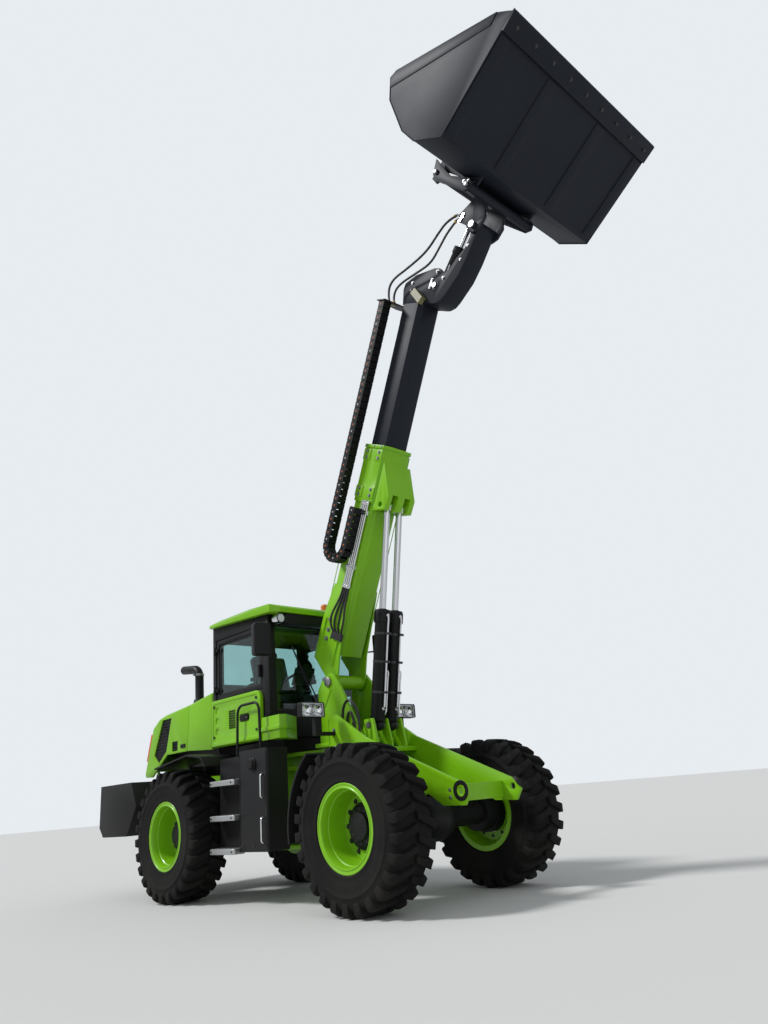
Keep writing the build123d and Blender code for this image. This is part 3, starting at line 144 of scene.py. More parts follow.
def mesh_object(name, bm, recalc=True):
    """A new object that holds a bmesh."""
    if recalc:
        bmesh.ops.remove_doubles(bm, verts=bm.verts, dist=1e-5)
        bmesh.ops.recalc_face_normals(bm, faces=bm.faces)
    mesh = bpy.data.meshes.new(name)
    bm.to_mesh(mesh)
    bm.free()
    return linked(name, mesh)


def applied(obj):
    """The object with its modifiers turned into plain mesh."""
    bpy.context.view_layer.update()
    evaluated = obj.evaluated_get(bpy.context.evaluated_depsgraph_get())
    mesh = bpy.data.meshes.new_from_object(evaluated)
    mesh.name = obj.name
    if obj.type == "MESH":
        obj.modifiers.clear()
        obj.data = mesh
        return obj
    name = obj.name
    bpy.data.objects.remove(obj)
    return linked(name, mesh)


def place_piece(obj, material, body, smooth_angle=35, replaced=()):
    """Gives a finished piece its material in a slot, and a body if one is named."""
    obj.data.materials.clear()
    obj.data.materials.append(MATERIALS[material])
    if smooth_angle is not None:
        obj.data.shade_smooth()
        obj.data.set_sharp_from_angle(angle=math.radians(smooth_angle))
    if body:
        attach(obj, body)
    if replaced:
        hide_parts(*replaced)
    return obj


def body_of(node):
    return next(body for body, names in BODY_NODES.items() if node in names)


def add_bevel(obj, width, segments=2, angle=30):
    bevel = obj.modifiers.new("Edges", "BEVEL")
    bevel.width = width
    bevel.segments = segments
    bevel.limit_method = "ANGLE"
    bevel.angle_limit = math.radians(angle)
    bevel.use_clamp_overlap = True


def solid_copy(node):
    """A bmesh of one of the frame's solids."""
    bm = bmesh.new()
    bm.from_mesh(NODES[node].data)
    return bm


def rounded_node(node, width):
    """A copy of a solid with its edges rounded as a press or a weld leaves them."""
    bm = solid_copy(node)
    bmesh.ops.remove_doubles(bm, verts=bm.verts, dist=2e-5)
    bmesh.ops.dissolve_limit(bm, angle_limit=math.radians(1.0), verts=bm.verts, edges=bm.edges)
    obj = mesh_object(node + "_finish", bm, recalc=False)
    add_bevel(obj, width)
    return applied(obj)


def bridge(bm, rings, capped=True):
    """Skins rings of vertices one after another, and closes both ends."""
    for low, high in zip(rings, rings[1:]):
        for i in range(len(low)):
            bm.faces.new((low[i - 1], low[i], high[i], high[i - 1]))
    if capped:
        bm.faces.new(rings[0])
        bm.faces.new(list(reversed(rings[-1])))


def add_box(bm, low, high, place=LOADER):
    """A box between two corners."""
    xs, ys, zs = zip(low, high)
    corners = [bm.verts.new(place @ Vector((x, y, z))) for z in zs for y in ys for x in xs]
    for face in ((0, 2, 3, 1), (4, 5, 7, 6), (0, 1, 5, 4), (2, 6, 7, 3), (0, 4, 6, 2), (1, 3, 7, 5)):
        bm.faces.new([corners[i] for i in face])


def add_surround(bm, low, high, wide, across=1):
    """Four bars inside the sides of a box, which leave its middle open."""
    for axis in (2, across):
        end, start = list(high), list(low)
        end[axis] = low[axis] + wide
        start[axis] = high[axis] - wide
        add_box(bm, low, end)
        add_box(bm, start, high)


def add_plate(bm, outline, near, far, place=LOADER):
    """A plate with a side-view outline, from one width to another."""
    bridge(bm, [[bm.verts.new(place @ Vector((x, y, z))) for x, z in outline] for y in (near, far)])


def add_turned(bm, profile, place, segments=24, closed=False):
    """A turned shape from radius and height along the Z axis of its frame."""
    rings = []
    for radius, height in profile:
        turns = [2 * math.pi * i / segments for i in range(segments)]
        ring = [(radius * math.cos(a), radius * math.sin(a), height) for a in turns]
        rings.append([bm.verts.new(place @ Vector(point)) for point in ring])
    if closed:
        rings.append(rings[0])
    bridge(bm, rings, not closed)


def line_curve(name, points, radius):
    """A smooth round line through control points."""
    curve = bpy.data.curves.new(name, "CURVE")
    curve.dimensions = "3D"
    curve.bevel_depth = radius
    curve.bevel_resolution = 3
    curve.use_fill_caps = True
    curve.resolution_u = 10
    spline = curve.splines.new("NURBS")
    spline.points.add(len(points) - 1)
    for control, point in zip(spline.points, points):
        control.co = (*point, 1.0)
    spline.order_u = 3
    spline.use_endpoint_u = True
    return linked(name, curve)


class Batch:
    """Small shapes gathered per body and material, then made into one piece each."""

    def __init__(self, name, body):
        self.name = name
        self.body = body
        self.meshes = {}

    def mesh(self, material, body=None):
        """The bmesh of a material on the batch's own body or on another."""
        key = (body or self.body, material)
        if key not in self.meshes:
            self.meshes[key] = bmesh.new()
        return self.meshes[key]

    def line(self, material, points, radius, place=LOADER, body=None):
        """A rigid pipe, bar or bead along control points."""
        tube = applied(line_curve("line", [place @ Vector(point) for point in points], radius))
        self.mesh(material, body).from_mesh(tube.data)
        bpy.data.objects.remove(tube)

    def finish(self, width):
        """Makes the pieces, with their edges beveled."""
        for (body, material), bm in self.meshes.items():
            obj = mesh_object("_".join((self.name, body, material)), bm)
            add_bevel(obj, width, 1, 40)
            place_piece(applied(obj), material, body)


# Nodes

def add_node(tree, kind, inputs=None, **settings):
    """A new node; each input, by name or number, is a value or a socket to link from."""
    node = tree.nodes.new(kind)
    for name, value in settings.items():
        setattr(node, name, value)
    for label, value in (inputs or {}).items():
        if isinstance(value, bpy.types.NodeSocket):
            tree.links.new(value, node.inputs[label])
        else:
            node.inputs[label].default_value = value
    return node


# Repeats

REPEAT = {}


def repeat_group():
    """Copies of a part on points that hold a turn and a size."""
    tree = bpy.data.node_groups.new("RepeatPart", "GeometryNodeTree")
    for label, kind in (("Geometry", "Geometry"), ("Part", "Object"), ("Material", "Material")):
        socket = tree.interface.new_socket(label, in_out="INPUT", socket_type="NodeSocket" + kind)
        REPEAT[label] = socket.identifier
    tree.interface.new_socket("Geometry", in_out="OUTPUT", socket_type="NodeSocketGeometry")
    given = tree.nodes.new("NodeGroupInput").outputs
    part = add_node(tree, "GeometryNodeObjectInfo", {"Object": given["Part"]})
    turn = add_node(tree, "GeometryNodeInputNamedAttribute", {"Name": "turn"}, data_type="FLOAT_VECTOR")
    size = add_node(tree, "GeometryNodeInputNamedAttribute", {"Name": "size"}, data_type="FLOAT")
    angles = add_node(tree, "FunctionNodeEulerToRotation", {0: turn.outputs["Attribute"]})
    copies = add_node(tree, "GeometryNodeInstanceOnPoints", {
        "Points": given["Geometry"], "Instance": part.outputs["Geometry"], "Rotation": angles.outputs[0],
        "Scale": size.outputs["Attribute"]})
    real = add_node(tree, "GeometryNodeRealizeInstances", {0: copies.outputs[0]})
    paint = add_node(tree, "GeometryNodeSetMaterial", {"Geometry": real.outputs[0], "Material": given["Material"]})
    add_node(tree, "NodeGroupOutput", {0: paint.outputs[0]})
    REPEAT["tree"] = tree


def repeated(name, part, rows, body, material, smooth_angle=35):
    """One piece of copies of a part; each row has a point, the copy's Euler turn and its size."""
    if not REPEAT:
        repeat_group()
    mesh = bpy.data.meshes.new(name)
    mesh.from_pydata([tuple(point) for point, _, _ in rows], [], [])
    turns = mesh.attributes.new("turn", "FLOAT_VECTOR", "POINT")
    turns.data.foreach_set("vector", [angle for _, turn, _ in rows for angle in turn])
    sizes = mesh.attributes.new("size", "FLOAT", "POINT")
    sizes.data.foreach_set("value", [size for _, _, size in rows])
    obj = linked(name, mesh)
    copies = obj.modifiers.new("Copies", "NODES")
    copies.node_group = REPEAT["tree"]
    copies[REPEAT["Part"]] = part
    copies[REPEAT["Material"]] = MATERIALS[material]
    obj = applied(obj)
    bpy.data.objects.remove(part)
    return place_piece(obj, material, body, smooth_angle)


def bolts(name, body, rows, material="pin_steel", sides=6):
    """Bolt heads with washers; each row has a point, the way the head looks and its radius."""
    bm = bmesh.new()
    add_turned(bm, [(1.34, -0.1), (1.34, 0.12), (1.28, 0.18)], Matrix(), 20)
    add_turned(bm, [(1.0, 0.1), (1.0, 0.72), (0.84, 0.9)], Matrix(), sides)
    places = []
    for i, (point, direction, radius) in enumerate(rows):
        spin = Matrix.Rotation(math.radians(17 * i), 4, "Z")
        places.append((point, (facing(point, direction) @ spin).to_euler(), radius))
    return repeated(name, mesh_object("bolt_part", bm), places, body, material, 30)


def on_both_sides(rows):
    """Bolt rows on the outer faces of both sides; each has a side place, its width and its radius."""
    return [(at(x, side * y, z), (0, side, 0), radius) for x, z, y, radius in rows for side in (-1, 1)]


def ring_of(centre, direction, radius, count, size):
    """Bolt rows on a circle."""
    place = facing(centre, direction)
    turns = [2 * math.pi * i / count for i in range(count)]
    return [(place @ Vector((radius * math.cos(a), radius * math.sin(a), 0)), direction, size) for a in turns]


# Shader groups

def new_group(name, inputs, outputs):
    """A shader node group with number inputs, and outputs (name, kind); gives its tree and input sockets."""
    tree = bpy.data.node_groups.new(name, "ShaderNodeTree")
    for label in inputs:
        tree.interface.new_socket(label, in_out="INPUT", socket_type="NodeSocketFloat")
    for label, kind in outputs:
        tree.interface.new_socket(label, in_out="OUTPUT", socket_type=kind)
    return tree, tree.nodes.new("NodeGroupInput").outputs


def object_place(tree):
    return tree.nodes.new("ShaderNodeTexCoord").outputs["Object"]


def noise_node(tree, place, scale, detail=3.0, roughness=0.5):
    return add_node(tree, "ShaderNodeTexNoise", {
        "Vector": place, "Scale": scale, "Detail": detail, "Roughness": roughness}).outputs["Fac"]


def ramp_node(tree, value, low, high):
    """How far a value is from low to high, from 0 to 1."""
    inputs = {"Value": value, "From Min": low, "From Max": high}
    return add_node(tree, "ShaderNodeMapRange", inputs).outputs["Result"]


def math_node(tree, operation, first, second):
    return add_node(tree, "ShaderNodeMath", {0: first, 1: second}, operation=operation).outputs[0]


def road_dust_group():
    """Dust that settles in patches on low parts, as a mask."""
    tree, given = new_group("RoadDust", ("Amount", "Top", "Scale"), [("Mask", "NodeSocketFloat")])
    where = object_place(tree)
    split = add_node(tree, "ShaderNodeSeparateXYZ", {0: where})
    patches = ramp_node(tree, noise_node(tree, where, given["Scale"], 5.0), 0.35, 0.75)
    mask = math_node(tree, "MULTIPLY", ramp_node(tree, split.outputs["Z"], given["Top"], 0.0), patches)
    add_node(tree, "NodeGroupOutput", {"Mask": math_node(tree, "MULTIPLY", mask, given["Amount"])})


def skin_bump_group():
    """Orange peel, grain or casting texture as a normal, with a matching roughness change."""
    tree, given = new_group("SkinBump", ("Scale", "Height", "Distance", "Roughness", "Spread"),
                            [("Normal", "NodeSocketVector"), ("Roughness", "NodeSocketFloat")])
    where = object_place(tree)
    bump = add_node(tree, "ShaderNodeBump", {
        "Height": noise_node(tree, where, given["Scale"]), "Strength": given["Height"],
        "Distance": given["Distance"]})
    centred = math_node(tree, "SUBTRACT", noise_node(tree, where, 2.2, 6.0, 0.6), 0.5)
    change = math_node(tree, "MULTIPLY", centred, given["Spread"])
    roughness = math_node(tree, "ADD", change, given["Roughness"])
    add_node(tree, "NodeGroupOutput", {"Normal": bump.outputs["Normal"], "Roughness": roughness})


def group_node(tree, name, **values):
    return add_node(tree, "ShaderNodeGroup", values, node_tree=bpy.data.node_groups[name]).outputs


def mix_colours(tree, mask, first, second):
    """Two colours mixed by a mask; each is a colour or a socket. The numbers are the mixer's colour sockets."""
    return add_node(tree, "ShaderNodeMix", {0: mask, 6: first, 7: second}, data_type="RGBA").outputs[2]


def new_material(name, **values):
    """A material with values of its shader, whose names have underscores for spaces; gives its tree and inputs."""
    MATERIALS[name] = material = bpy.data.materials.new(name)
    material.use_nodes = True
    inputs = material.node_tree.nodes["Principled BSDF"].inputs
    for label, value in values.items():
        inputs[label.replace("_", " ")].default_value = value
    return material.node_tree, inputs


MATERIALS = {}
DUST_COLOUR = (0.17, 0.15, 0.12, 1.0)


def surface(name, colour, roughness, bump=(300.0, 0.1, 0.0006), spread=0.08, tint=0.15, dust=0.0, dust_top=1.4,
            **values):
    """A material with grain (scale, height, distance), slow colour change and dust."""
    tree, inputs = new_material(name, **values)
    slow = ramp_node(tree, noise_node(tree, object_place(tree), 1.7, 5.0, 0.6), 0.3, 0.7)
    darker = [c * (1 - tint) for c in colour]
    paint = mix_colours(tree, slow, (*darker, 1.0), (*colour, 1.0))
    if dust > 0:
        dusty = group_node(tree, "RoadDust", Amount=dust, Top=dust_top, Scale=2.6)
        paint = mix_colours(tree, dusty["Mask"], paint, DUST_COLOUR)
    skin = group_node(
        tree, "SkinBump", Scale=bump[0], Height=bump[1], Distance=bump[2], Roughness=roughness, Spread=spread)
    tree.links.new(paint, inputs["Base Color"])
    for label in ("Normal", "Roughness"):
        tree.links.new(skin[label], inputs[label])


def make_materials(settings):
    road_dust_group()
    skin_bump_group()
    dust = settings.dust
    surface("green_paint", settings.green, 0.36, (420.0, 0.06, 0.0004), dust=dust, Coat_Weight=0.12,
            Coat_Roughness=0.1, Specular_IOR_Level=0.3)
    surface("black_paint", settings.black, 0.45, (380.0, 0.1, 0.0005), dust=dust * 0.4, Specular_IOR_Level=0.22)
    # The blue tint of this black is a painted reflection of the sky, on top of the paint's own dark colour.
    surface("boom_black", settings.boom_black, 0.5, (420.0, 0.05, 0.0004), Specular_IOR_Level=0.16)
    surface("tyre_rubber", (0.009, 0.009, 0.009), 0.75, (160.0, 0.25, 0.001), tint=0.3, dust=dust * 0.6,
            dust_top=1.5, Specular_IOR_Level=0.12)
    surface("chrome_rod", (0.72, 0.73, 0.75), 0.12, (900.0, 0.02, 0.0002), tint=0.05, Metallic=1.0)
    surface("pin_steel", (0.30, 0.30, 0.31), 0.42, (600.0, 0.1, 0.0003), tint=0.1, dust=0.1, Metallic=1.0)
    surface("dark_steel", (0.05, 0.05, 0.052), 0.4, (500.0, 0.2, 0.0004), dust=0.1, Metallic=0.6)
    surface("brass", (0.55, 0.38, 0.12), 0.3, (700.0, 0.05, 0.0002), Metallic=1.0)
    surface("tread_metal", (0.50, 0.51, 0.51), 0.42, (500.0, 0.15, 0.0004), dust=dust, Metallic=1.0)
    surface("seat_vinyl", (0.016, 0.016, 0.018), 0.5, (260.0, 0.3, 0.0006))
    surface("trim_plastic", (0.008, 0.008, 0.009), 0.5, (500.0, 0.3, 0.0004), dust=dust * 0.3,
            Specular_IOR_Level=0.2)
    surface("hose_rubber", (0.009, 0.009, 0.009), 0.38, (220.0, 0.3, 0.0006))
    surface("seal_rubber", (0.006, 0.006, 0.006), 0.6, (240.0, 0.2, 0.0005))
    surface("cast_weight", (0.013, 0.013, 0.013), 0.55, (90.0, 0.35, 0.0015), tint=0.25, dust=dust * 0.6,
            Specular_IOR_Level=0.2)
    surface("wear_plastic", (0.07, 0.07, 0.07), 0.5)
    surface("engine_iron", (0.02, 0.02, 0.02), 0.6, (60.0, 0.4, 0.002), dust=0.2)
    surface("chain_orange", (0.62, 0.13, 0.015), 0.5)
    surface("chain_white", (0.6, 0.6, 0.58), 0.5)
    surface("olive_block", (0.16, 0.15, 0.06), 0.45, (300.0, 0.2, 0.0005))
    surface("mirror_glass", (0.85, 0.87, 0.88), 0.03, (100.0, 0.0, 0.0001), 0.0, 0.02, Metallic=1.0)
    surface("reflector", (0.82, 0.83, 0.84), 0.14, (140.0, 0.5, 0.002), tint=0.05, Metallic=1.0)
    surface("lamp_lens", (0.62, 0.65, 0.67), 0.08, (60.0, 0.05, 0.0005), 0.0, 0.05, Coat_Weight=0.6)
    surface("amber_lens", (0.80, 0.21, 0.01), 0.18, (60.0, 0.1, 0.001), Coat_Weight=0.5, Subsurface_Weight=0.2)
    surface("red_lens", (0.62, 0.055, 0.012), 0.2, (60.0, 0.1, 0.001), Coat_Weight=0.5)
    new_material("clear_glass", Base_Color=(0.52, 0.72, 0.71, 1.0), Roughness=0.02, IOR=1.45,
                 Transmission_Weight=1.0)


# Operators

class LOADER_OT_stage(bpy.types.Operator):
    """Lay the pale floor, hang the lamps and place the camera"""
    bl_idname = "loader.stage"
    bl_label = "Stage"

    FLOOR_SIZE = 240.0
    VIEW_DEPTH = 400.0
    # Colour and strength of the sky as it lights the loader, then as it is seen
    SKIES = (((0.92, 0.96, 1.0, 1), 0.52), ((0.80, 0.84, 0.88, 1), 1.0))
    # Name, direction that the lamp shines in, strength, angle in degrees
    LAMPS = (("key", (0.45, 0.55, -0.70), 2.55, 10), ("fill", (-0.80, 0.35, -0.25), 0.35, 60))

    def execute(self, context):
        scene = context.scene
        self.make_camera(scene, scene.loader_camera)
        bm = bmesh.new()
        bmesh.ops.create_grid(bm, x_segments=1, y_segments=1, size=self.FLOOR_SIZE / 2)
        floor = mesh_object("floor", bm, recalc=False)
        new_material("floor", Base_Color=(0.60, 0.60, 0.59, 1), Roughness=0.9)
        floor.data.materials.append(MATERIALS["floor"])
        self.make_world(scene)
        for name, direction, strength, angle in self.LAMPS:
            light = bpy.data.lights.new(name, "SUN")
            light.energy = strength
            light.angle = math.radians(angle)
            linked(name, light).rotation_euler = Vector(direction).to_track_quat("-Z", "Y").to_euler()
        scene.view_settings.view_transform = "Standard"
        return {"FINISHED"}

    def make_world(self, scene):
        scene.world = bpy.data.worlds.new("studio")
        scene.world.use_nodes = True
        tree = scene.world.node_tree
        lit, shown = [add_node(tree, "ShaderNodeBackground", {"Color": colour, "Strength": strength}).outputs[0]
                      for colour, strength in self.SKIES]
        path = tree.nodes.new("ShaderNodeLightPath").outputs
        seen = math_node(tree, "MAXIMUM", path["Is Camera Ray"], path["Is Transmission Ray"])
        mix = add_node(tree, "ShaderNodeMixShader", {0: seen, 1: lit, 2: shown})
        tree.links.new(mix.outputs[0], tree.nodes["World Output"].inputs["Surface"])

    def make_camera(self, scene, settings):
        data = bpy.data.cameras.new("camera")
        data.lens = settings.lens
        data.sensor_width = 36.0
        data.clip_end = self.VIEW_DEPTH
        scene.camera = linked("camera", data)
        scene.camera.matrix_world = (
            Matrix.Translation(at(*settings.place)) @ Matrix.Rotation(settings.yaw, 4, "Z")
            @ Matrix.Rotation(settings.pitch - UPRIGHT, 4, "X") @ Matrix.Rotation(settings.roll, 4, "Z"))


class LOADER_OT_hoses(bpy.types.Operator):
    """Lay the free hydraulic hoses of the boom"""
    bl_idname = "loader.hoses"
    bl_label = "Hoses"

    # Name and control points, from the steering pivot's line
    HEAD = (
        ("head_hose_upper", (
            (1.80, -0.21, 6.01), (1.79, -0.21, 6.16), (1.88, -0.21, 6.27), (2.12, -0.21, 6.27),
            (2.42, -0.21, 6.30), (2.60, -0.205, 6.42), (2.74, -0.19, 6.505), (2.856, -0.170, 6.500))),
        ("head_hose_lower", (
            (1.86, -0.20, 5.985), (1.86, -0.20, 6.08), (1.96, -0.20, 6.16), (2.24, -0.215, 6.13),
            (2.46, -0.215, 6.12), (2.60, -0.21, 6.24), (2.73, -0.19, 6.38), (2.848, -0.166, 6.452))),
    )
    # Loops between the front frame's valves and the cylinders at the boom's foot
    FRAME = (
        ("frame_hose_a", (
            (0.66, -0.285, 1.46), (0.655, -0.29, 1.62), (0.70, -0.305, 1.78), (0.80, -0.31, 1.84),
            (0.90, -0.305, 1.74), (0.915, -0.29, 1.60), (0.905, -0.285, 1.40))),
        ("frame_hose_b", (
            (0.73, -0.285, 1.46), (0.73, -0.29, 1.58), (0.75, -0.30, 1.68), (0.805, -0.305, 1.72),
            (0.845, -0.30, 1.62), (0.85, -0.29, 1.50), (0.845, -0.285, 1.38))),
    )
    # Distances along the boom, the two courses of widths, and each hose's heights above the boom's lower face
    FOOT_S = (0.99, 0.90, 0.78, 0.66, 0.55, 0.50)
    FOOT_WIDE = (-0.21, -0.212, -0.228, -0.24, -0.235, -0.216)
    FOOT_NEAR = (-0.21, -0.212, -0.226, -0.235, -0.23, -0.216)
    FOOT = (
        ("foot_hose_a", FOOT_WIDE, (0.160, 0.160, 0.19, 0.22, 0.19, 0.135)),
        ("foot_hose_b", FOOT_NEAR, (0.130, 0.130, 0.145, 0.155, 0.14, 0.095)),
        ("foot_hose_c", FOOT_NEAR, (0.100, 0.100, 0.09, 0.075, 0.075, 0.055)),
        ("foot_hose_d", FOOT_WIDE, (0.070, 0.070, 0.04, -0.005, -0.005, 0.015)),
    )

    HEAD_D, FOOT_D, FRAME_D = 0.026, 0.024, 0.028

    def execute(self, context):
        for name, points in self.HEAD:
            self.lay(name, self.HEAD_D, [at(*point) for point in points], "inner_boom")
        for name, widths, heights in self.FOOT:
            points = [BOOM @ Vector(point) for point in zip(self.FOOT_S, widths, heights)]
            self.lay(name, self.FOOT_D, points, "outer_boom")
        for name, points in self.FRAME:
            self.lay(name, self.FRAME_D, [at(*point) for point in points], "front_frame")
        return {"FINISHED"}

    def lay(self, name, diameter, points, body):
        obj = line_curve(name, points, diameter / 2)
        obj.data.materials.append(MATERIALS["hose_rubber"])
        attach(obj, body)


class LOADER_OT_frame_finish(bpy.types.Operator):
    """Paint the frame's own pieces and round the edges of plates and castings"""
    bl_idname = "loader.frame_finish"
    bl_label = "Frame finish"

    # Piece, edge radius in metres
    ROUNDED = (
        ("hood", 0.014), ("cab_roof", 0.012), ("cab_frame", 0.008), ("side_panel_right", 0.006),
        ("front_boxes", 0.012), ("counterweight", 0.014), ("side_tanks", 0.008), ("rear_fenders", 0.006),
        ("front_fenders", 0.005), ("front_side_plates", 0.004), ("boom_towers", 0.004), ("front_chassis", 0.004),
        ("rear_chassis", 0.004), ("front_crossbeams", 0.004), ("front_axle", 0.006), ("rear_axle", 0.006),
        ("outer_boom", 0.005), ("boom_collar", 0.004), ("inner_boom", 0.006),
        ("boom_head", 0.007), ("chain_bracket", 0.003), ("coupler", 0.005), ("bucket", 0.003),
        ("cutting_edge", 0.002), ("door_left_frame", 0.006), ("window_right_frame", 0.006), ("console_right", 0.012),
        ("seat", 0.012), ("mirrors", 0.006), ("work_lamps", 0.004), ("tail_lamps", 0.004), ("exhaust_stack", 0.002),
        ("ladder_treads", 0.005), ("lift_barrels", 0.003), ("tilt_barrel", 0.003),
    )

    # Height between the tanks' grips and the cab's rail
    GRIP_TOP = 1.3

    def execute(self, context):
        for name, node in NODES.items():
            for material_slot in node.material_slots:
                material_slot.material = MATERIALS[NODE_SLOTS[name]]
        for name, width in self.ROUNDED:
            place_piece(rounded_node(name, width), NODE_SLOTS[name], body_of(name), replaced=(name,))
        self.bright_grips()
        return {"FINISHED"}

    def bright_grips(self):
        """The tank's grips are bright bars, and the cab's rail stays black."""
        piece = mesh_object("handrails_finish", solid_copy("handrails"), recalc=False)
        place_piece(piece, "black_paint", "rear_frame", 40, ("handrails",))
        piece.data.materials.append(MATERIALS["chrome_rod"])
        for face in piece.data.polygons:
            face.material_index = int(face.center.z < self.GRIP_TOP)


class LOADER_OT_wheels(bpy.types.Operator):
    """Cut the tyres' tread, turn the rims and fit nuts, valves and hub bolts"""
    bl_idname = "loader.wheels"
    bl_label = "Wheels"

    LUGS = 26
    # Radius and distance from the tyre's middle, from the bead to the crown
    CARCASS = (
        (0.320, 0.186), (0.352, 0.192), (0.362, 0.197), (0.366, 0.203), (0.376, 0.204), (0.384, 0.201),
        (0.420, 0.212), (0.470, 0.2185), (0.510, 0.2190), (0.514, 0.2222), (0.524, 0.2222), (0.528, 0.2188),
        (0.555, 0.2160), (0.590, 0.2080), (0.618, 0.1920), (0.632, 0.1650), (0.638, 0.1000), (0.640, 0.0),
    )
    # Outer and inner distance from the middle and radius, angle in degrees, half width
    LUG = (
        (0.005, 0.6750, 0.005, 0.630, 1.7, 0.027), (0.070, 0.6748, 0.070, 0.630, 4.2, 0.028),
        (0.140, 0.6738, 0.140, 0.628, 6.4, 0.031), (0.185, 0.6700, 0.175, 0.618, 7.8, 0.035),
        (0.212, 0.6580, 0.190, 0.605, 8.5, 0.037), (0.2222, 0.6380, 0.198, 0.590, 8.6, 0.037),
        (0.2225, 0.6050, 0.202, 0.575, 8.6, 0.034), (0.2222, 0.5700, 0.208, 0.555, 8.6, 0.028),
    )
    # Radius and distance from the middle, round the rim's section
    RIM = (
        (0.306, -0.195), (0.350, -0.195), (0.356, -0.191), (0.356, -0.184), (0.3175, -0.181), (0.3175, 0.181),
        (0.356, 0.184), (0.356, 0.192), (0.352, 0.195), (0.342, 0.195), (0.337, 0.190), (0.325, 0.189),
        (0.321, 0.193), (0.316, 0.195), (0.311, 0.194), (0.304, 0.182), (0.298, 0.125), (0.290, 0.118),
        (0.281, 0.036), (0.274, -0.020), (0.262, -0.042), (0.245, -0.048), (0.1895, -0.048), (0.1895, -0.070),
        (0.262, -0.070), (0.292, -0.150),
    )
    NUT_RING_R = 0.226
    # Distance in from the tyre's middle, way that they look and size, of the nuts on the disc's face and back
    NUTS = ((0.048, 1, 0.017), (0.070, -1, 0.012))
    # Height on the hub, circle, count and size of its two rings of bolts
    HUB_BOLTS = ((0.887, 0.133, 12, 0.009), (0.922, 0.088, 8, 0.0065))

    def execute(self, context):
        for name in WHEELS:
            low, high = (Vector(corner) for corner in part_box("tyre_" + name))
            centre = (low + high) / 2
            side = math.copysign(1, centre.y)
            self.tyre(name, centre)
            self.rim(name, centre, side)
            rows = []
            for y, radius, count, size in self.HUB_BOLTS:
                rows += ring_of((centre.x, side * y, centre.z), (0, side, 0), radius, count, size)
            bolts("hub_bolts_" + name, name.split("_")[0] + "_frame", rows, "dark_steel")
        return {"FINISHED"}

    def tyre(self, name, centre):
        place = Matrix.Translation(centre) @ Matrix.Rotation(UPRIGHT, 4, "X")
        other = [(radius, -y) for radius, y in self.CARCASS]
        bm = bmesh.new()
        add_turned(bm, [*other, *reversed(self.CARCASS[:-1])], place, 104, closed=True)
        carcass = mesh_object("tyre_" + name + "_finish", bm)
        place_piece(carcass, "tyre_rubber", "wheel_" + name, 50, ("tyre_" + name,))
        pitch = 2 * math.pi / self.LUGS
        for label, sign, shift in (("inner", -1, 0.5), ("outer", 1, 0.0)):
            rows = [(centre, Euler((0, (i + shift) * pitch, 0)), 1.0) for i in range(self.LUGS)]
            repeated("lugs_" + label + "_" + name, self.lug(sign), rows, "wheel_" + name, "tyre_rubber", 32)

    def lug(self, sign):
        """One lug of the chevron tread, around the wheel's middle at the top."""
        bm = bmesh.new()
        rings = []
        for out_y, out_r, in_y, in_r, degrees, half in self.LUG:
            ring = []
            for y, r, offset in ((out_y, out_r, -half), (out_y, out_r, half), (in_y, in_r, half + 0.007),
                                 (in_y, in_r, -half - 0.007)):
                a = math.radians(degrees) + offset / r
                ring.append(bm.verts.new((r * math.sin(a), sign * y, r * math.cos(a))))
            rings.append(ring)
        bridge(bm, rings)
        part = mesh_object("lug_part", bm)
        add_bevel(part, 0.004, 2, 38)
        return applied(part)

    def rim(self, name, centre, side):
        place = Matrix.Translation(centre) @ Matrix.Rotation(UPRIGHT * side, 4, "X")
        bm = bmesh.new()
        add_turned(bm, self.RIM, place, 96, closed=True)
        valve = place @ Matrix.Translation((0.29, 0.06, 0.03))
        add_turned(bm, [(0.0065, 0), (0.0065, 0.04), (0.0045, 0.042)], valve, 10)
        rim = mesh_object("rim_" + name + "_finish", bm)
        place_piece(rim, "green_paint", "wheel_" + name, 28, ("rim_" + name,))
        rows = []
        for inward, look, size in self.NUTS:
            face = centre - Vector((0, inward * side, 0))
            rows += ring_of(face, (0, look * side, 0), self.NUT_RING_R, 12, size)
        bolts("wheel_nuts_" + name, "wheel_" + name, rows, "dark_steel")


class LOADER_OT_hood(bpy.types.Operator):
    """Fit the hood's latches, exhaust clamps and vent wires"""
    bl_idname = "loader.hood"
    bl_label = "Hood"

    VENT_LEAN = math.radians(-34)
    # Line of the exhaust stack, which leans back as it rises
    STACK_X, STACK_Y, STACK_Z = -2.105, -0.30, 2.115
    STACK_LEAN = 0.026

    def execute(self, context):
        batch = Batch("hood_trim", "hood")
        for side in (-1, 1):
            add_box(batch.mesh("trim_plastic"), (-2.175, side * 0.516, 1.645), (-2.065, side * 0.530, 1.690))
        steel = batch.mesh("pin_steel")
        for z in (2.165, 2.54):
            x = self.STACK_X - (z - self.STACK_Z) * self.STACK_LEAN
            add_turned(steel, [(0.060, -0.014), (0.060, 0.014)], Matrix.Translation(at(x, self.STACK_Y, z)), 28)
            add_box(steel, (x - 0.012, self.STACK_Y - 0.088, z - 0.012),
                    (x + 0.012, self.STACK_Y - 0.054, z + 0.012))
        batch.finish(0.0025)
        bm = bmesh.new()
        add_box(bm, (-0.002, -0.0015, -0.16), (0.002, 0.0015, 0.16), Matrix())
        rows = [(at(-2.60 + 0.036 * i, side * 0.5085, 1.88 - 0.026 * i), Euler((0, self.VENT_LEAN, 0)), 1.0)
                for side, i in product((-1, 1), range(7))]
        repeated("vent_wires", mesh_object("mesh_wire", bm), rows, "hood", "trim_plastic", None)
        return {"FINISHED"}


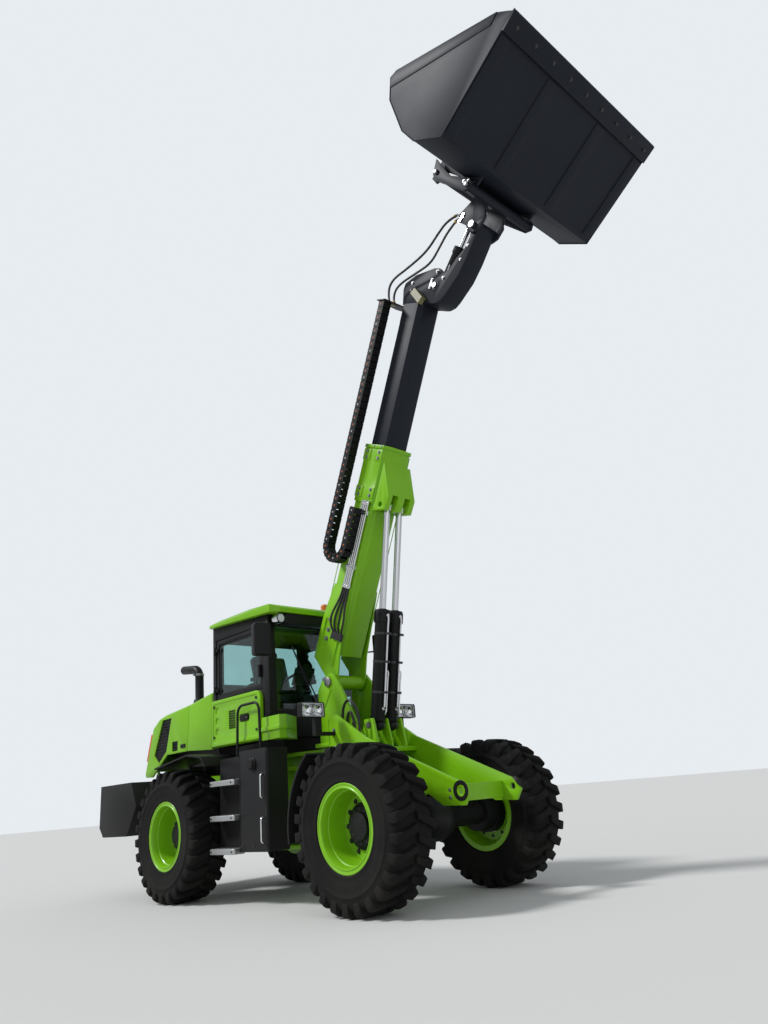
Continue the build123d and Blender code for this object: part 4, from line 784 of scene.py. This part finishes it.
class LOADER_OT_cab(bpy.types.Operator):
    """Fit seals, wiper, handles, lamps, instruments and the padded seat"""
    bl_idname = "loader.cab"
    bl_label = "Cab"

    # Body, axis across the pane, corners of the box that its seal lines
    PANES = (
        ("rear_frame", 1, (-0.109, -0.570, 1.830), (-0.091, 0.570, 2.760)),
        ("rear_frame", 1, (-1.155, -0.560, 2.240), (-1.137, 0.560, 2.760)),
        ("window_right", 0, (-1.064, -0.641, 2.120), (-0.236, -0.623, 2.704)),
        ("door_left", 0, (-1.064, 0.623, 2.120), (-0.236, 0.641, 2.704)),
        ("door_left", 0, (-1.064, 0.623, 1.696), (-0.236, 0.641, 2.050)),
    )
    # Material, radius and points of the wiper's two arms and its blade
    WIPER = (
        ("trim_plastic", 0.008, ((-0.060, 0.02, 1.87), (-0.064, -0.06, 2.02), (-0.070, -0.20, 2.28))),
        ("trim_plastic", 0.005, ((-0.060, -0.03, 1.87), (-0.064, -0.10, 2.02), (-0.070, -0.235, 2.25))),
        ("seal_rubber", 0.009, ((-0.084, -0.09, 2.03), (-0.084, -0.21, 2.28), (-0.084, -0.33, 2.53))),
    )
    # Centre, length, width, thickness and lean in degrees of each pad of the seat
    PADS = (
        ((-0.715, 0.0, 2.085), 0.46, 0.46, 0.085, 3.0),
        ((-0.925, 0.0, 2.325), 0.48, 0.42, 0.080, -73.0),
    )
    PAD_STEPS = 18

    def execute(self, context):
        batch = Batch("cab_trim", "rear_frame")
        for body, across, low, high in self.PANES:
            add_surround(batch.mesh("seal_rubber", body), low, high, 0.022, across)
        self.outside(batch)
        self.inside(batch)
        batch.finish(0.0025)
        self.seat()
        rows = [(at(x, -0.7, z), (0, -1, 0), 0.011) for z, x in product((1.66, 1.99), (-1.10, -0.26))]
        bolts("panel_bolts", "rear_frame", rows, "dark_steel")
        return {"FINISHED"}

    def outside(self, batch):
        black = batch.mesh("trim_plastic")
        add_box(black, (-0.097, -0.06, 1.835), (-0.052, 0.06, 1.90))
        for material, radius, points in self.WIPER:
            batch.line(material, points, radius)
        # Louvres and lock of the side panel
        for i in range(8):
            z = 1.730 + 0.0245 * i
            add_box(black, (-0.798, -0.7, z), (-0.672, -0.682, z + 0.006))
        add_plate(black, [(-0.575, 1.776), (-0.430, 1.776), (-0.415, 1.790), (-0.415, 1.826), (-0.430, 1.840),
                          (-0.575, 1.840)], -0.699, -0.684)
        lock = facing(at(-0.45, -0.699, 1.808), (0, -1, 0))
        add_turned(batch.mesh("pin_steel"), [(0.011, 0), (0.011, 0.004)], lock, 16)
        # Handles of the window and the door
        add_box(batch.mesh("trim_plastic", "window_right"), (-0.232, -0.690, 2.20), (-0.200, -0.652, 2.33))
        add_box(batch.mesh("trim_plastic", "door_left"), (-0.250, 0.652, 2.06), (-0.196, 0.690, 2.12))
        # The beacon's foot, then the work lamps' fronts and the mirrors' glass
        low, high = (Vector(corner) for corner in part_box("beacon"))
        base = Matrix.Translation(((low.x + high.x) / 2, (low.y + high.y) / 2, low.z))
        radius = (high.x - low.x) / 2
        add_turned(black, [(radius + 0.014, -0.006), (radius + 0.012, 0.016), (radius + 0.004, 0.024)], base, 32)
        for side in (-1, 1):
            place = facing(at(0.1045, side * 0.602, 2.782), (1, 0, 0))
            add_turned(batch.mesh("reflector"), [(0.046, 0), (0.046, 0.0015), (0.020, 0.0006)], place, 32)
            lens = [(0.047, 0.0022), (0.040, 0.005), (0.020, 0.0072), (0.004, 0.0076)]
            add_turned(batch.mesh("lamp_lens"), lens, place, 32)
            add_turned(black, [(0.053, -0.004), (0.055, 0.007), (0.048, 0.010), (0.046, 0.004)], place, 32, True)
            mirror = Matrix.Translation(at(0.072, side * 0.850, 2.535))
            mirror @= Matrix.Rotation(math.radians(-14) * side, 4, "Z")
            add_box(batch.mesh("mirror_glass"), (-0.002, -0.082, -0.158), (0.001, 0.082, 0.158), mirror)

    def inside(self, batch):
        black = batch.mesh("trim_plastic")
        turn = Vector((-0.42, 0, 0.91)).to_track_quat("Z", "X").to_matrix().to_4x4()
        wheel = Matrix.Translation(at(-0.43, 0, 2.20)) @ turn
        add_turned(black, [(0.050, 0.016), (0.046, 0.034), (0.030, 0.040)], wheel, 24)
        knob = wheel @ Matrix.Translation((0.10, 0.145, 0.0))
        add_turned(black, [(0.010, 0.0), (0.010, 0.028), (0.021, 0.034), (0.023, 0.055), (0.014, 0.068)], knob, 18)
        dial = Matrix.Translation(at(-0.300, 0.0, 2.345)) @ Matrix.Rotation(math.radians(-62), 4, "Y")
        add_turned(black, [(0.075, -0.050), (0.090, 0.0), (0.092, 0.022), (0.082, 0.024), (0.080, 0.014)], dial, 32)
        add_turned(batch.mesh("mirror_glass"), [(0.078, 0.012), (0.078, 0.0145)], dial, 32)
        lever = [(0.050, 0.0), (0.040, 0.020), (0.028, 0.034), (0.014, 0.055), (0.010, 0.10), (0.018, 0.13),
                 (0.023, 0.17), (0.020, 0.205), (0.010, 0.215)]
        for x in (-0.520, -0.640):
            add_turned(black, lever, Matrix.Translation(at(x, -0.44, 2.178)), 20)
        # Switches on the console, then the arm rests
        for i in range(6):
            x = -0.86 + 0.03 * i
            add_box(batch.mesh("dark_steel"), (x, -0.52, 2.150), (x + 0.018, -0.48, 2.170))
        add_box(black, (-0.90, 0.29, 2.21), (-0.55, 0.36, 2.26))
        add_box(black, (-0.92, -0.32, 2.27), (-0.62, -0.26, 2.31))

    def seat(self):
        """Stuffed cushion and backrest with sewn channels on the seat's shell."""
        bm = bmesh.new()
        for centre, length, width, thick, lean in self.PADS:
            place = Matrix.Translation(at(*centre)) @ Matrix.Rotation(math.radians(-lean), 4, "Y")
            self.pad(bm, place, length, width, thick)
        pads = mesh_object("seat_pads", bm)
        pads.modifiers.new("Smooth", "SUBSURF").levels = 1
        place_piece(applied(pads), "seat_vinyl", "rear_frame", 60)

    def pad(self, bm, place, length, width, thick):
        """A pad with a rounded edge and two sewn channels along it."""
        last = self.PAD_STEPS
        loops = []
        for sign in (1, -1):
            grid = []
            for i in range(last + 1):
                grid.append([])
                for j in range(last + 1):
                    u, v = 2 * i / last - 1, 2 * j / last - 1
                    crown = (1 - abs(u) ** 5) * (1 - abs(v) ** 5)
                    channel = math.exp(-((abs(v) - 0.45) / 0.055) ** 2) * 0.22 if sign > 0 else 0.0
                    height = sign * thick / 2 * (0.25 + 0.75 * crown ** 0.5 - channel)
                    grid[i].append(bm.verts.new(place @ Vector((u * length / 2, v * width / 2, height))))
            for i, j in product(range(last), repeat=2):
                bm.faces.new((grid[i][j], grid[i + 1][j], grid[i + 1][j + 1], grid[i][j + 1]))
            loop = [grid[i][0] for i in range(last)] + grid[last][:last]
            loop += [grid[i][last] for i in range(last, 0, -1)] + grid[0][:0:-1]
            loops.append(loop)
        bridge(bm, loops, capped=False)


class LOADER_OT_access(bpy.types.Operator):
    """Grip studs on the steps and fittings on the tanks"""
    bl_idname = "loader.access"
    bl_label = "Access"

    STEP_TOPS = (0.526, 0.838, 1.176)

    def execute(self, context):
        bm = bmesh.new()
        add_turned(bm, [(0.0125, -0.002), (0.0125, 0.002), (0.0085, 0.0042), (0.0075, 0.0005)], Matrix(), 14)
        rows = []
        for side, z, i in product((-1, 1), self.STEP_TOPS, range(11)):
            for y, shift in ((0.872, 0.0), (0.908, 0.019), (0.944, 0.0)):
                rows.append((at(-0.735 + 0.0395 * i + shift, side * y, z), Euler(), 1.0))
        repeated("step_grips", mesh_object("grip_part", bm), rows, "rear_frame", "tread_metal", 30)
        batch = Batch("tank_trim", "rear_frame")
        cap = facing(at(-0.05, -0.902, 1.30), (0, -1, 0))
        add_turned(batch.mesh("trim_plastic"),
                   [(0.062, 0.0), (0.062, 0.010), (0.052, 0.014), (0.052, 0.034), (0.044, 0.040)], cap, 28)
        for side, x in product((-1, 1), (-0.285, 0.178)):
            add_box(batch.mesh("seal_rubber"), (x, side * 0.8995, 0.52), (x + 0.006, side * 0.9035, 1.40))
        batch.finish(0.002)
        rows = []
        for side in (-1, 1):
            ends = product(self.STEP_TOPS, (-0.72, -0.34))
            rows += [(at(x, side * 0.972, z - 0.026), (0, side, 0), 0.008) for z, x in ends]
            rows += [(at(x, side * 0.9, 0.545), (0, side, 0), 0.010) for x in (-0.25, -0.05, 0.15)]
        bolts("access_bolts", "rear_frame", rows, "dark_steel")
        return {"FINISHED"}


class LOADER_OT_front_frame(bpy.types.Operator):
    """Fit headlamp surrounds and reflectors, pin keepers, valves, bolts and weld beads"""
    bl_idname = "loader.front_frame"
    bl_label = "Front frame"

    # Inside of a lamp's shroud
    LAMP_X = (0.5775, 0.630)
    LAMP_Y = (0.5045, 0.7755)
    LAMP_Z = (1.6785, 1.8115)

    def execute(self, context):
        self.lamps()
        rows = [(0.60, z, 0.36, 0.016) for z in (1.55, 1.38, 0.80, 0.95)]
        rows += [(x, 0.94, 0.36, 0.016) for x in (1.38, 1.46, 1.58, 1.66)]
        rows += [(2.08, z, 0.36, 0.012) for z in (0.84, 0.90)]
        rows += [(x, z, 0.25, 0.014) for x, z in ((0.19, 1.60), (0.19, 1.72), (0.78, 1.60))]
        bolts("frame_bolts", "front_frame", on_both_sides(rows))
        batch = Batch("front_frame_trim", "front_frame")
        steel = batch.mesh("pin_steel")
        nose = [(0.082, 0.0), (0.082, 0.008), (0.048, 0.008), (0.046, -0.02)]
        for side in (-1, 1):
            face = facing(at(BOOM_PIN[0], side * 0.262, BOOM_PIN[1]), (0, side, 0))
            add_turned(steel, [(0.050, 0.0), (0.050, 0.006), (0.044, 0.010)], face, 28)
            add_box(steel, (0.335, side * 0.250, 2.085), (0.395, side * 0.260, 2.115))
            face = facing(at(2.205, side * 0.36, 0.888), (0, side, 0))
            add_turned(batch.mesh("black_paint"), nose, face, 32, closed=True)
        add_box(batch.mesh("dark_steel"), (0.63, -0.31, 1.425), (0.76, -0.258, 1.512))
        add_box(batch.mesh("dark_steel"), (0.825, -0.31, 1.385), (0.93, -0.258, 1.452))
        for x, z in ((0.66, 1.505), (0.73, 1.505), (0.905, 1.445), (0.845, 1.445)):
            place = Matrix.Translation(at(x, -0.285, z))
            add_turned(batch.mesh("chrome_rod"), [(0.022, 0.0), (0.022, 0.022)], place, 6)
            add_turned(batch.mesh("chrome_rod"), [(0.018, 0.022), (0.018, 0.050)], place, 20)
        for side in (-1, 1):
            batch.line("green_paint", [(0.522, side * 0.361, z) for z in (1.66, 1.2, 0.64)], 0.005)
        batch.finish(0.0015)
        return {"FINISHED"}

    def lamps(self):
        """Bright perforated reflectors with two bowls each, inside pale surrounds."""
        (x0, x1), (y0, y1), (z0, z1) = self.LAMP_X, self.LAMP_Y, self.LAMP_Z
        lens, bowl, hole = bmesh.new(), bmesh.new(), bmesh.new()
        dots = []
        for side in (-1, 1):
            near, far = sorted((side * y0, side * y1))
            add_surround(lens, (x1 - 0.006, near, z0), (x1, far, z1), 0.009)
            add_box(bowl, (x0, near, z0), (x0 + 0.006, far, z1))
            add_surround(bowl, (x0, near, z0), (x1 - 0.012, far, z1), 0.004)
            for shift in (0.065, 0.200):
                middle = facing(at(x0 + 0.005, side * (y0 + shift), (z0 + z1) / 2), (1, 0, 0))
                add_turned(bowl, [(0.056, 0.0), (0.056, 0.034), (0.052, 0.034), (0.040, 0.016), (0.018, 0.006),
                                  (0.014, 0.004)], middle, 32)
                add_turned(bowl, [(0.011, 0.004), (0.011, 0.022), (0.006, 0.028)], middle, 16)
            for i, j in product(range(12), range(6)):
                y = side * (y0 + 0.014 + 0.0221 * i)
                dots.append((at(x0 + 0.0062, y, z0 + 0.014 + 0.021 * j), Euler(), 1.0))
        surround = mesh_object("headlamp_lenses", lens)
        add_bevel(surround, 0.0015)
        place_piece(applied(surround), "lamp_lens", "front_frame", replaced=("headlamps",))
        place_piece(mesh_object("headlamp_reflectors", bowl), "reflector", "front_frame")
        add_turned(hole, [(0.0065, 0.0), (0.0065, 0.0008)], facing((0, 0, 0), (1, 0, 0)), 12)
        repeated("reflector_holes", mesh_object("reflector_hole", hole), dots, "front_frame", "seal_rubber", None)


class LOADER_OT_boom(bpy.types.Operator):
    """Fit the boom's bolts, pipe unions, energy chain and the head's keepers"""
    bl_idname = "loader.boom"
    bl_label = "Boom"

    CHAIN_PITCH = 0.076
    CHAIN_BEND = (1.42, 0.315)
    CHAIN_BEND_R = 0.155
    CHAIN_MOVING_S = 4.131
    CHAIN_FIXED_S = 1.85
    CHAIN_Y = -0.285
    PIPE_ROWS = (0.070, 0.100, 0.130, 0.160)

    def execute(self, context):
        self.chain()
        self.bolt_rows()
        batch = Batch("boom_trim", "outer_boom")
        self.outer(batch)
        self.head(batch)
        batch.finish(0.0015)
        return {"FINISHED"}

    def chain_rows(self):
        """Point along the boom, height and turn of each link, from the moving end to the fixed one."""
        bend_s, bend_t = self.CHAIN_BEND
        radius = self.CHAIN_BEND_R
        straight = self.CHAIN_MOVING_S - bend_s
        arc = math.pi * radius
        total = straight + arc + self.CHAIN_FIXED_S - bend_s
        count = round(total / self.CHAIN_PITCH)
        for i in range(count):
            d = total * (i + 0.5) / count
            if d < straight:
                yield self.CHAIN_MOVING_S - d, bend_t + radius, 0.0
            elif d < straight + arc:
                a = (d - straight) / radius
                yield bend_s - radius * math.sin(a), bend_t + radius * math.cos(a), -a
            else:
                yield bend_s + d - straight - arc, bend_t - radius, math.pi

    def link(self):
        """One link: two side plates with lapped ends, and bars above and below."""
        bm = bmesh.new()
        half = self.CHAIN_PITCH / 2
        outline = [(-half + 0.006, -0.044), (half - 0.006, -0.044), (half + 0.006, -0.030), (half + 0.006, 0.030),
                   (half - 0.006, 0.044), (-half + 0.006, 0.044), (-half - 0.002, 0.030), (-half - 0.002, -0.030)]
        lap = [(-0.020, -0.034), (0.020, -0.034), (0.024, 0.0), (0.020, 0.034), (-0.020, 0.034), (-0.024, 0.0)]
        for side in (-1, 1):
            add_plate(bm, outline, side * 0.043, side * 0.053, Matrix())
            add_plate(bm, lap, side * 0.053, side * 0.0545, Matrix())
        for z in (-0.044, 0.038):
            add_box(bm, (-0.034, -0.045, z), (0.034, 0.045, z + 0.006), Matrix())
        part = mesh_object("link_part", bm)
        add_bevel(part, 0.0018, 1, 40)
        return applied(part)

    def chain(self):
        links, orange, white = [], [], []
        for i, (s, t, turn) in enumerate(self.chain_rows()):
            rotation = (BOOM.to_3x3() @ Matrix.Rotation(turn, 3, "Y")).to_euler()
            links.append((BOOM @ Vector((s, self.CHAIN_Y, t)), rotation, 1.0))
            spot = BOOM @ Vector((s, self.CHAIN_Y - 0.0545, t))
            (white if i % 4 == 3 else orange).append((spot, rotation, 1.0))
        pieces = [repeated("chain_links", self.link(), links, None, "trim_plastic", 30)]
        looks = (("chain_spots", orange, "chain_orange"), ("chain_marks", white, "chain_white"))
        for name, rows, material in looks:
            bm = bmesh.new()
            add_turned(bm, [(0.0085, -0.002), (0.0085, 0.0015), (0.006, 0.003)], facing((0, 0, 0), (0, -1, 0)), 12)
            pieces.append(repeated(name, mesh_object("spot_part", bm), rows, None, material, 30))
        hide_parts("energy_chain")
        for piece in pieces:
            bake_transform(piece)

    def bolt_rows(self):
        places = ((0.452, 2.726), (0.408, 2.625), (0.365, 2.537))
        rows = on_both_sides([(x, z, 0.199, 0.020) for x, z in places])
        # Distance along the boom, width, height and size
        marks = [(s, 0.202, t, 0.0145) for ends in ((2.008, 2.072), (2.418, 2.482))
                 for t in (0.095, 0.285) for s in ends]
        marks += [(2.543, 0.206, t, 0.009) for t in (0.07, 0.19, 0.31)]
        marks += [(s, 0.182, 0.225, 0.010) for s in (1.2225, 1.8175)]
        for side in (-1, 1):
            rows += [(BOOM @ Vector((s, side * y, t)), (0, side, 0), radius) for s, y, t, radius in marks]
        up = tuple(BOOM.to_3x3() @ Vector((0, 0, 1)))
        places = product((2.00, 2.12, 2.38, 2.50), (-0.11, 0.11))
        rows += [(BOOM @ Vector((s, y, 0.394)), up, 0.016) for s, y in places]
        bolts("boom_bolts", "outer_boom", rows)
        bolts("head_bolts", "inner_boom", on_both_sides([
            (2.465, 6.055, 0.125, 0.016), (2.530, 5.935, 0.125, 0.016), (2.100, 6.130, 0.125, 0.014),
            (2.060, 6.060, 0.125, 0.014), (2.780, 6.010, 0.125, 0.012), (2.900, 6.110, 0.125, 0.012),
        ]))

    def outer(self, batch):
        along = BOOM.to_3x3() @ Vector((1, 0, 0))
        for t, s in product(self.PIPE_ROWS, (0.992, 1.900)):
            union = facing(BOOM @ Vector((s, -0.21, t)), along)
            add_turned(batch.mesh("chrome_rod"), [(0.0175, 0.0), (0.0175, 0.030)], union, 6)
            add_turned(batch.mesh("chrome_rod"), [(0.0140, 0.030), (0.0140, 0.050)], union, 16)
        add_box(batch.mesh("dark_steel"), (0.435, -0.232, -0.012), (0.510, -0.199, 0.160), BOOM)
        for s, t in product((1.2225, 1.8175), (0.055, 0.085, 0.115, 0.145, 0.175)):
            face = facing(BOOM @ Vector((s, -0.2297, t)), (0, -1, 0))
            add_turned(batch.mesh("pin_steel"), [(0.0065, 0.0), (0.0065, 0.005)], face, 6)
        for side, t in product((-1, 1), (0.012, 0.368)):
            batch.line("green_paint", [(s, side * 0.1815, t) for s in (0.5, 1.2, 1.86)], 0.0045, BOOM)

    def head(self, batch):
        body = "inner_boom"
        # Body, middle, width and lean in degrees of the keeper plates on the tilt cylinder's pins
        keepers = (("bucket", (2.892, 6.443), 0.1545, 38), (body, (2.361, 5.961), 0.1285, 58))
        for (owner, (x, z), y, lean), side in product(keepers, (-1, 1)):
            bright = batch.mesh("chrome_rod", owner)
            place = Matrix.Translation(at(x, side * y, z)) @ Matrix.Rotation(math.radians(-lean), 4, "Y")
            add_box(bright, (-0.058, 0.0, -0.017), (0.058, side * 0.010, 0.017), place)
            for along in (-0.040, 0.040):
                screw = facing(place @ Vector((along, side * 0.010, 0)), (0, side, 0))
                add_turned(bright, [(0.011, 0.0), (0.011, 0.009)], screw, 6)
        for side in (-1, 1):
            face = facing(at(2.400, side * 0.140, 5.920), (0, side, 0))
            add_turned(batch.mesh("pin_steel", body), [(0.018, -0.004), (0.018, 0.003)], face, 20)
        block = batch.mesh("olive_block", body)
        add_box(block, (4.128, -0.232, 0.425), (4.150, -0.150, 0.520), BOOM)
        add_plate(block, [(2.10, 5.97), (2.19, 5.79), (2.26, 5.83), (2.17, 6.00)], -0.190, -0.1245)
        # Place and direction of the head hoses' couplings
        couplings = (((1.80, -0.21, 6.00), (-0.1, 0, 1)), ((1.86, -0.20, 5.975), (-0.05, 0, 1)),
                     ((2.815, -0.174, 6.505), (0.95, 0.2, 0.0)), ((2.815, -0.172, 6.435), (0.85, 0.2, 0.45)))
        for point, direction in couplings:
            union = facing(at(*point), direction)
            add_turned(batch.mesh("brass", body), [(0.018, -0.006), (0.018, 0.020)], union, 6)
            add_turned(batch.mesh("chrome_rod", body), [(0.014, 0.020), (0.014, 0.050)], union, 16)


class LOADER_OT_cylinders(bpy.types.Operator):
    """Fit the cylinders' head bolts, hard lines, elbows and rod wipers"""
    bl_idname = "loader.cylinders"
    bl_label = "Cylinders"

    LIFT_BASE = (0.950, 1.560)
    LIFT_TOP = (1.360, 3.760)
    LIFT_Y = 0.088
    BARREL_L = 1.140
    TILT_BASE = (2.400, 5.920)
    TILT_TOP = (2.900, 6.460)

    def execute(self, context):
        batch = Batch("cylinder_trim", "lift_barrels")
        rows = []
        top = self.BARREL_L
        wiper = [(0.0355, top + 0.001), (0.045, top + 0.001), (0.045, top + 0.010), (0.037, top + 0.014)]
        for side in (-1, 1):
            place = self.along(self.LIFT_BASE, self.LIFT_TOP, side * self.LIFT_Y)
            for i in range(10):
                notch = place @ Matrix.Rotation(2 * math.pi * i / 10, 4, "Z")
                add_box(batch.mesh("black_paint"), (0.079, -0.011, top - 0.122), (0.0865, 0.011, top - 0.020),
                        notch)
            axis = tuple(place.to_3x3() @ Vector((0, 0, 1)))
            rows += ring_of(place @ Vector((0, 0, top)), axis, 0.058, 8, 0.008)
            add_turned(batch.mesh("seal_rubber"), wiper, place, 28, closed=True)
            self.hard_lines(batch, place, top)
        place = self.along(self.TILT_BASE, self.TILT_TOP, 0.0)
        low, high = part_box("tilt_barrel")
        length = (Vector(high) - Vector(low)).length * 0.5
        for y in (-0.07, 0.07):
            batch.line("chrome_rod", [
                (0.030, y, 0.10), (0.045, y * 1.1, 0.16), (0.045, y * 1.1, length * 0.7), (0.03, y, length * 0.82)
            ], 0.007, place, "tilt_barrel")
        bolts("cylinder_bolts", "lift_barrels", rows, "dark_steel")
        batch.finish(0.0015)
        return {"FINISHED"}

    def along(self, base, top, y):
        """A frame at a cylinder's base pin, whose Z axis runs up its rod and whose X axis looks forward."""
        lift = Vector((top[0] - base[0], 0, top[1] - base[1])).normalized()
        forward = Vector((lift.z, 0, -lift.x))
        turn = Matrix((forward, lift.cross(forward), lift)).transposed()
        return Matrix.Translation(at(base[0], y, base[1])) @ turn.to_4x4()

    def hard_lines(self, batch, place, top):
        """The steel pipes that feed the two ends, with clamps and elbows."""
        x = 0.093
        batch.line("chrome_rod", [
            (0.070, 0, 0.16), (x, 0, 0.165), (x, 0, 0.22), (x, 0, 0.60), (x, 0, top - 0.16),
            (x + 0.004, 0, top - 0.09), (x - 0.004, 0, top - 0.058), (0.070, 0, top - 0.055)], 0.010, place)
        short = ((0.070, 0.10), (x, 0.105), (x, 0.20), (x, 0.46), (x + 0.01, 0.52), (0.075, 0.54))
        batch.line("chrome_rod", [(out, 0.026, z) for out, z in short], 0.008, place)
        clamp = batch.mesh("dark_steel")
        for z in (0.32, 0.62, 0.90):
            ring = [(0.0715, z - 0.012), (0.0745, z - 0.012), (0.0745, z + 0.012), (0.0715, z + 0.012)]
            add_turned(clamp, ring, place, 32, closed=True)
            add_box(clamp, (0.066, -0.016, z - 0.012), (x + 0.014, 0.040, z + 0.012), place)
        for radius, end, z in ((0.019, 0.090, top - 0.056), (0.017, 0.084, 0.162)):
            union = place @ Matrix.Translation((0, 0, z)) @ Matrix.Rotation(-UPRIGHT, 4, "Y")
            add_turned(batch.mesh("chrome_rod"), [(radius, 0.060), (radius, end)], union, 6)


class LOADER_OT_bucket(bpy.types.Operator):
    """Weld beads, cheek creases and edge bolts of the bucket"""
    bl_idname = "loader.bucket"
    bl_label = "Bucket"

    HALF = 1.165
    # Side-view lines of the cheek's rim, its crease and the coupler's welds
    BACK = ((0.237, 1.272), (0.056, 1.083), (-0.126, 0.620), (-0.149, 0.357), (0.0, 0.0), (1.111, 0.0))
    CREASE = ((0.954, 0.186), (0.5565, 0.685), (0.159, 1.184))
    WELD = ((-0.046, 0.150), (-0.138, 0.357), (-0.118, 0.600))

    def execute(self, context):
        batch = Batch("bucket_trim", "bucket")
        rim = [((u0, v0), ((u0 + u1) / 2, (v0 + v1) / 2), (u1, v1))
               for (u0, v0), (u1, v1) in zip(self.BACK, self.BACK[1:])]
        lines = [(self.HALF + 0.001, 0.006, path) for path in rim]
        lines += [(self.HALF, 0.007, self.CREASE), (0.400, 0.006, self.WELD), (0.425, 0.006, self.WELD)]
        for side, (y, radius, path) in product((-1, 1), lines):
            batch.line("boom_black", [(u, side * y, v) for u, v in path], radius, BUCKET)
        for side, (x, z) in product((-1, 1), ((3.262, 6.410), (2.915, 6.830))):
            face = facing(at(x, side * 0.500, z), (0, side, 0))
            add_turned(batch.mesh("pin_steel"), [(0.026, 0.0), (0.026, 0.020), (0.020, 0.026)], face, 24)
        batch.finish(0.0012)
        under = tuple(BUCKET.to_3x3() @ Vector((0, 0, -1)))
        rows = [(BUCKET @ Vector((1.03, -1.06 + 0.265 * i, -0.0262)), under, 0.016) for i in range(9)]
        bolts("edge_bolts", "bucket", rows, "dark_steel", 20)
        rows = on_both_sides([(x, z, 0.5005, 0.014) for x, z in ((3.29, 6.440), (3.235, 6.470))])
        bolts("coupler_bolts", "bucket", rows)
        return {"FINISHED"}


class LOADER_PT_panel(bpy.types.Panel):
    """Lists the steps that finish the loader"""
    bl_label = "Loader"
    bl_idname = "LOADER_PT_panel"
    bl_space_type = "VIEW_3D"
    bl_region_type = "UI"
    bl_category = "Loader"

    def draw(self, context):
        for step in STEPS:
            self.layout.operator(step.bl_idname)


STEPS = (
    LOADER_OT_stage,
    LOADER_OT_hoses,
    LOADER_OT_frame_finish,
    LOADER_OT_wheels,
    LOADER_OT_hood,
    LOADER_OT_cab,
    LOADER_OT_access,
    LOADER_OT_front_frame,
    LOADER_OT_boom,
    LOADER_OT_cylinders,
    LOADER_OT_bucket,
)
SETTINGS = (
    ("loader_paint", PaintSettings),
    ("loader_camera", CameraSettings),
)


def register():
    for name, group in SETTINGS:
        bpy.utils.register_class(group)
        setattr(bpy.types.Scene, name, bpy.props.PointerProperty(type=group))
    for step in STEPS:
        bpy.utils.register_class(step)
    bpy.utils.register_class(LOADER_PT_panel)


def unregister():
    bpy.utils.unregister_class(LOADER_PT_panel)
    for step in reversed(STEPS):
        bpy.utils.unregister_class(step)
    for name, group in reversed(SETTINGS):
        delattr(bpy.types.Scene, name)
        bpy.utils.unregister_class(group)


def main():
    register()
    make_materials(bpy.context.scene.loader_paint)
    for step in STEPS:
        group, call = step.bl_idname.split(".")
        getattr(getattr(bpy.ops, group), call)()


if __name__ == "__main__":
    main()
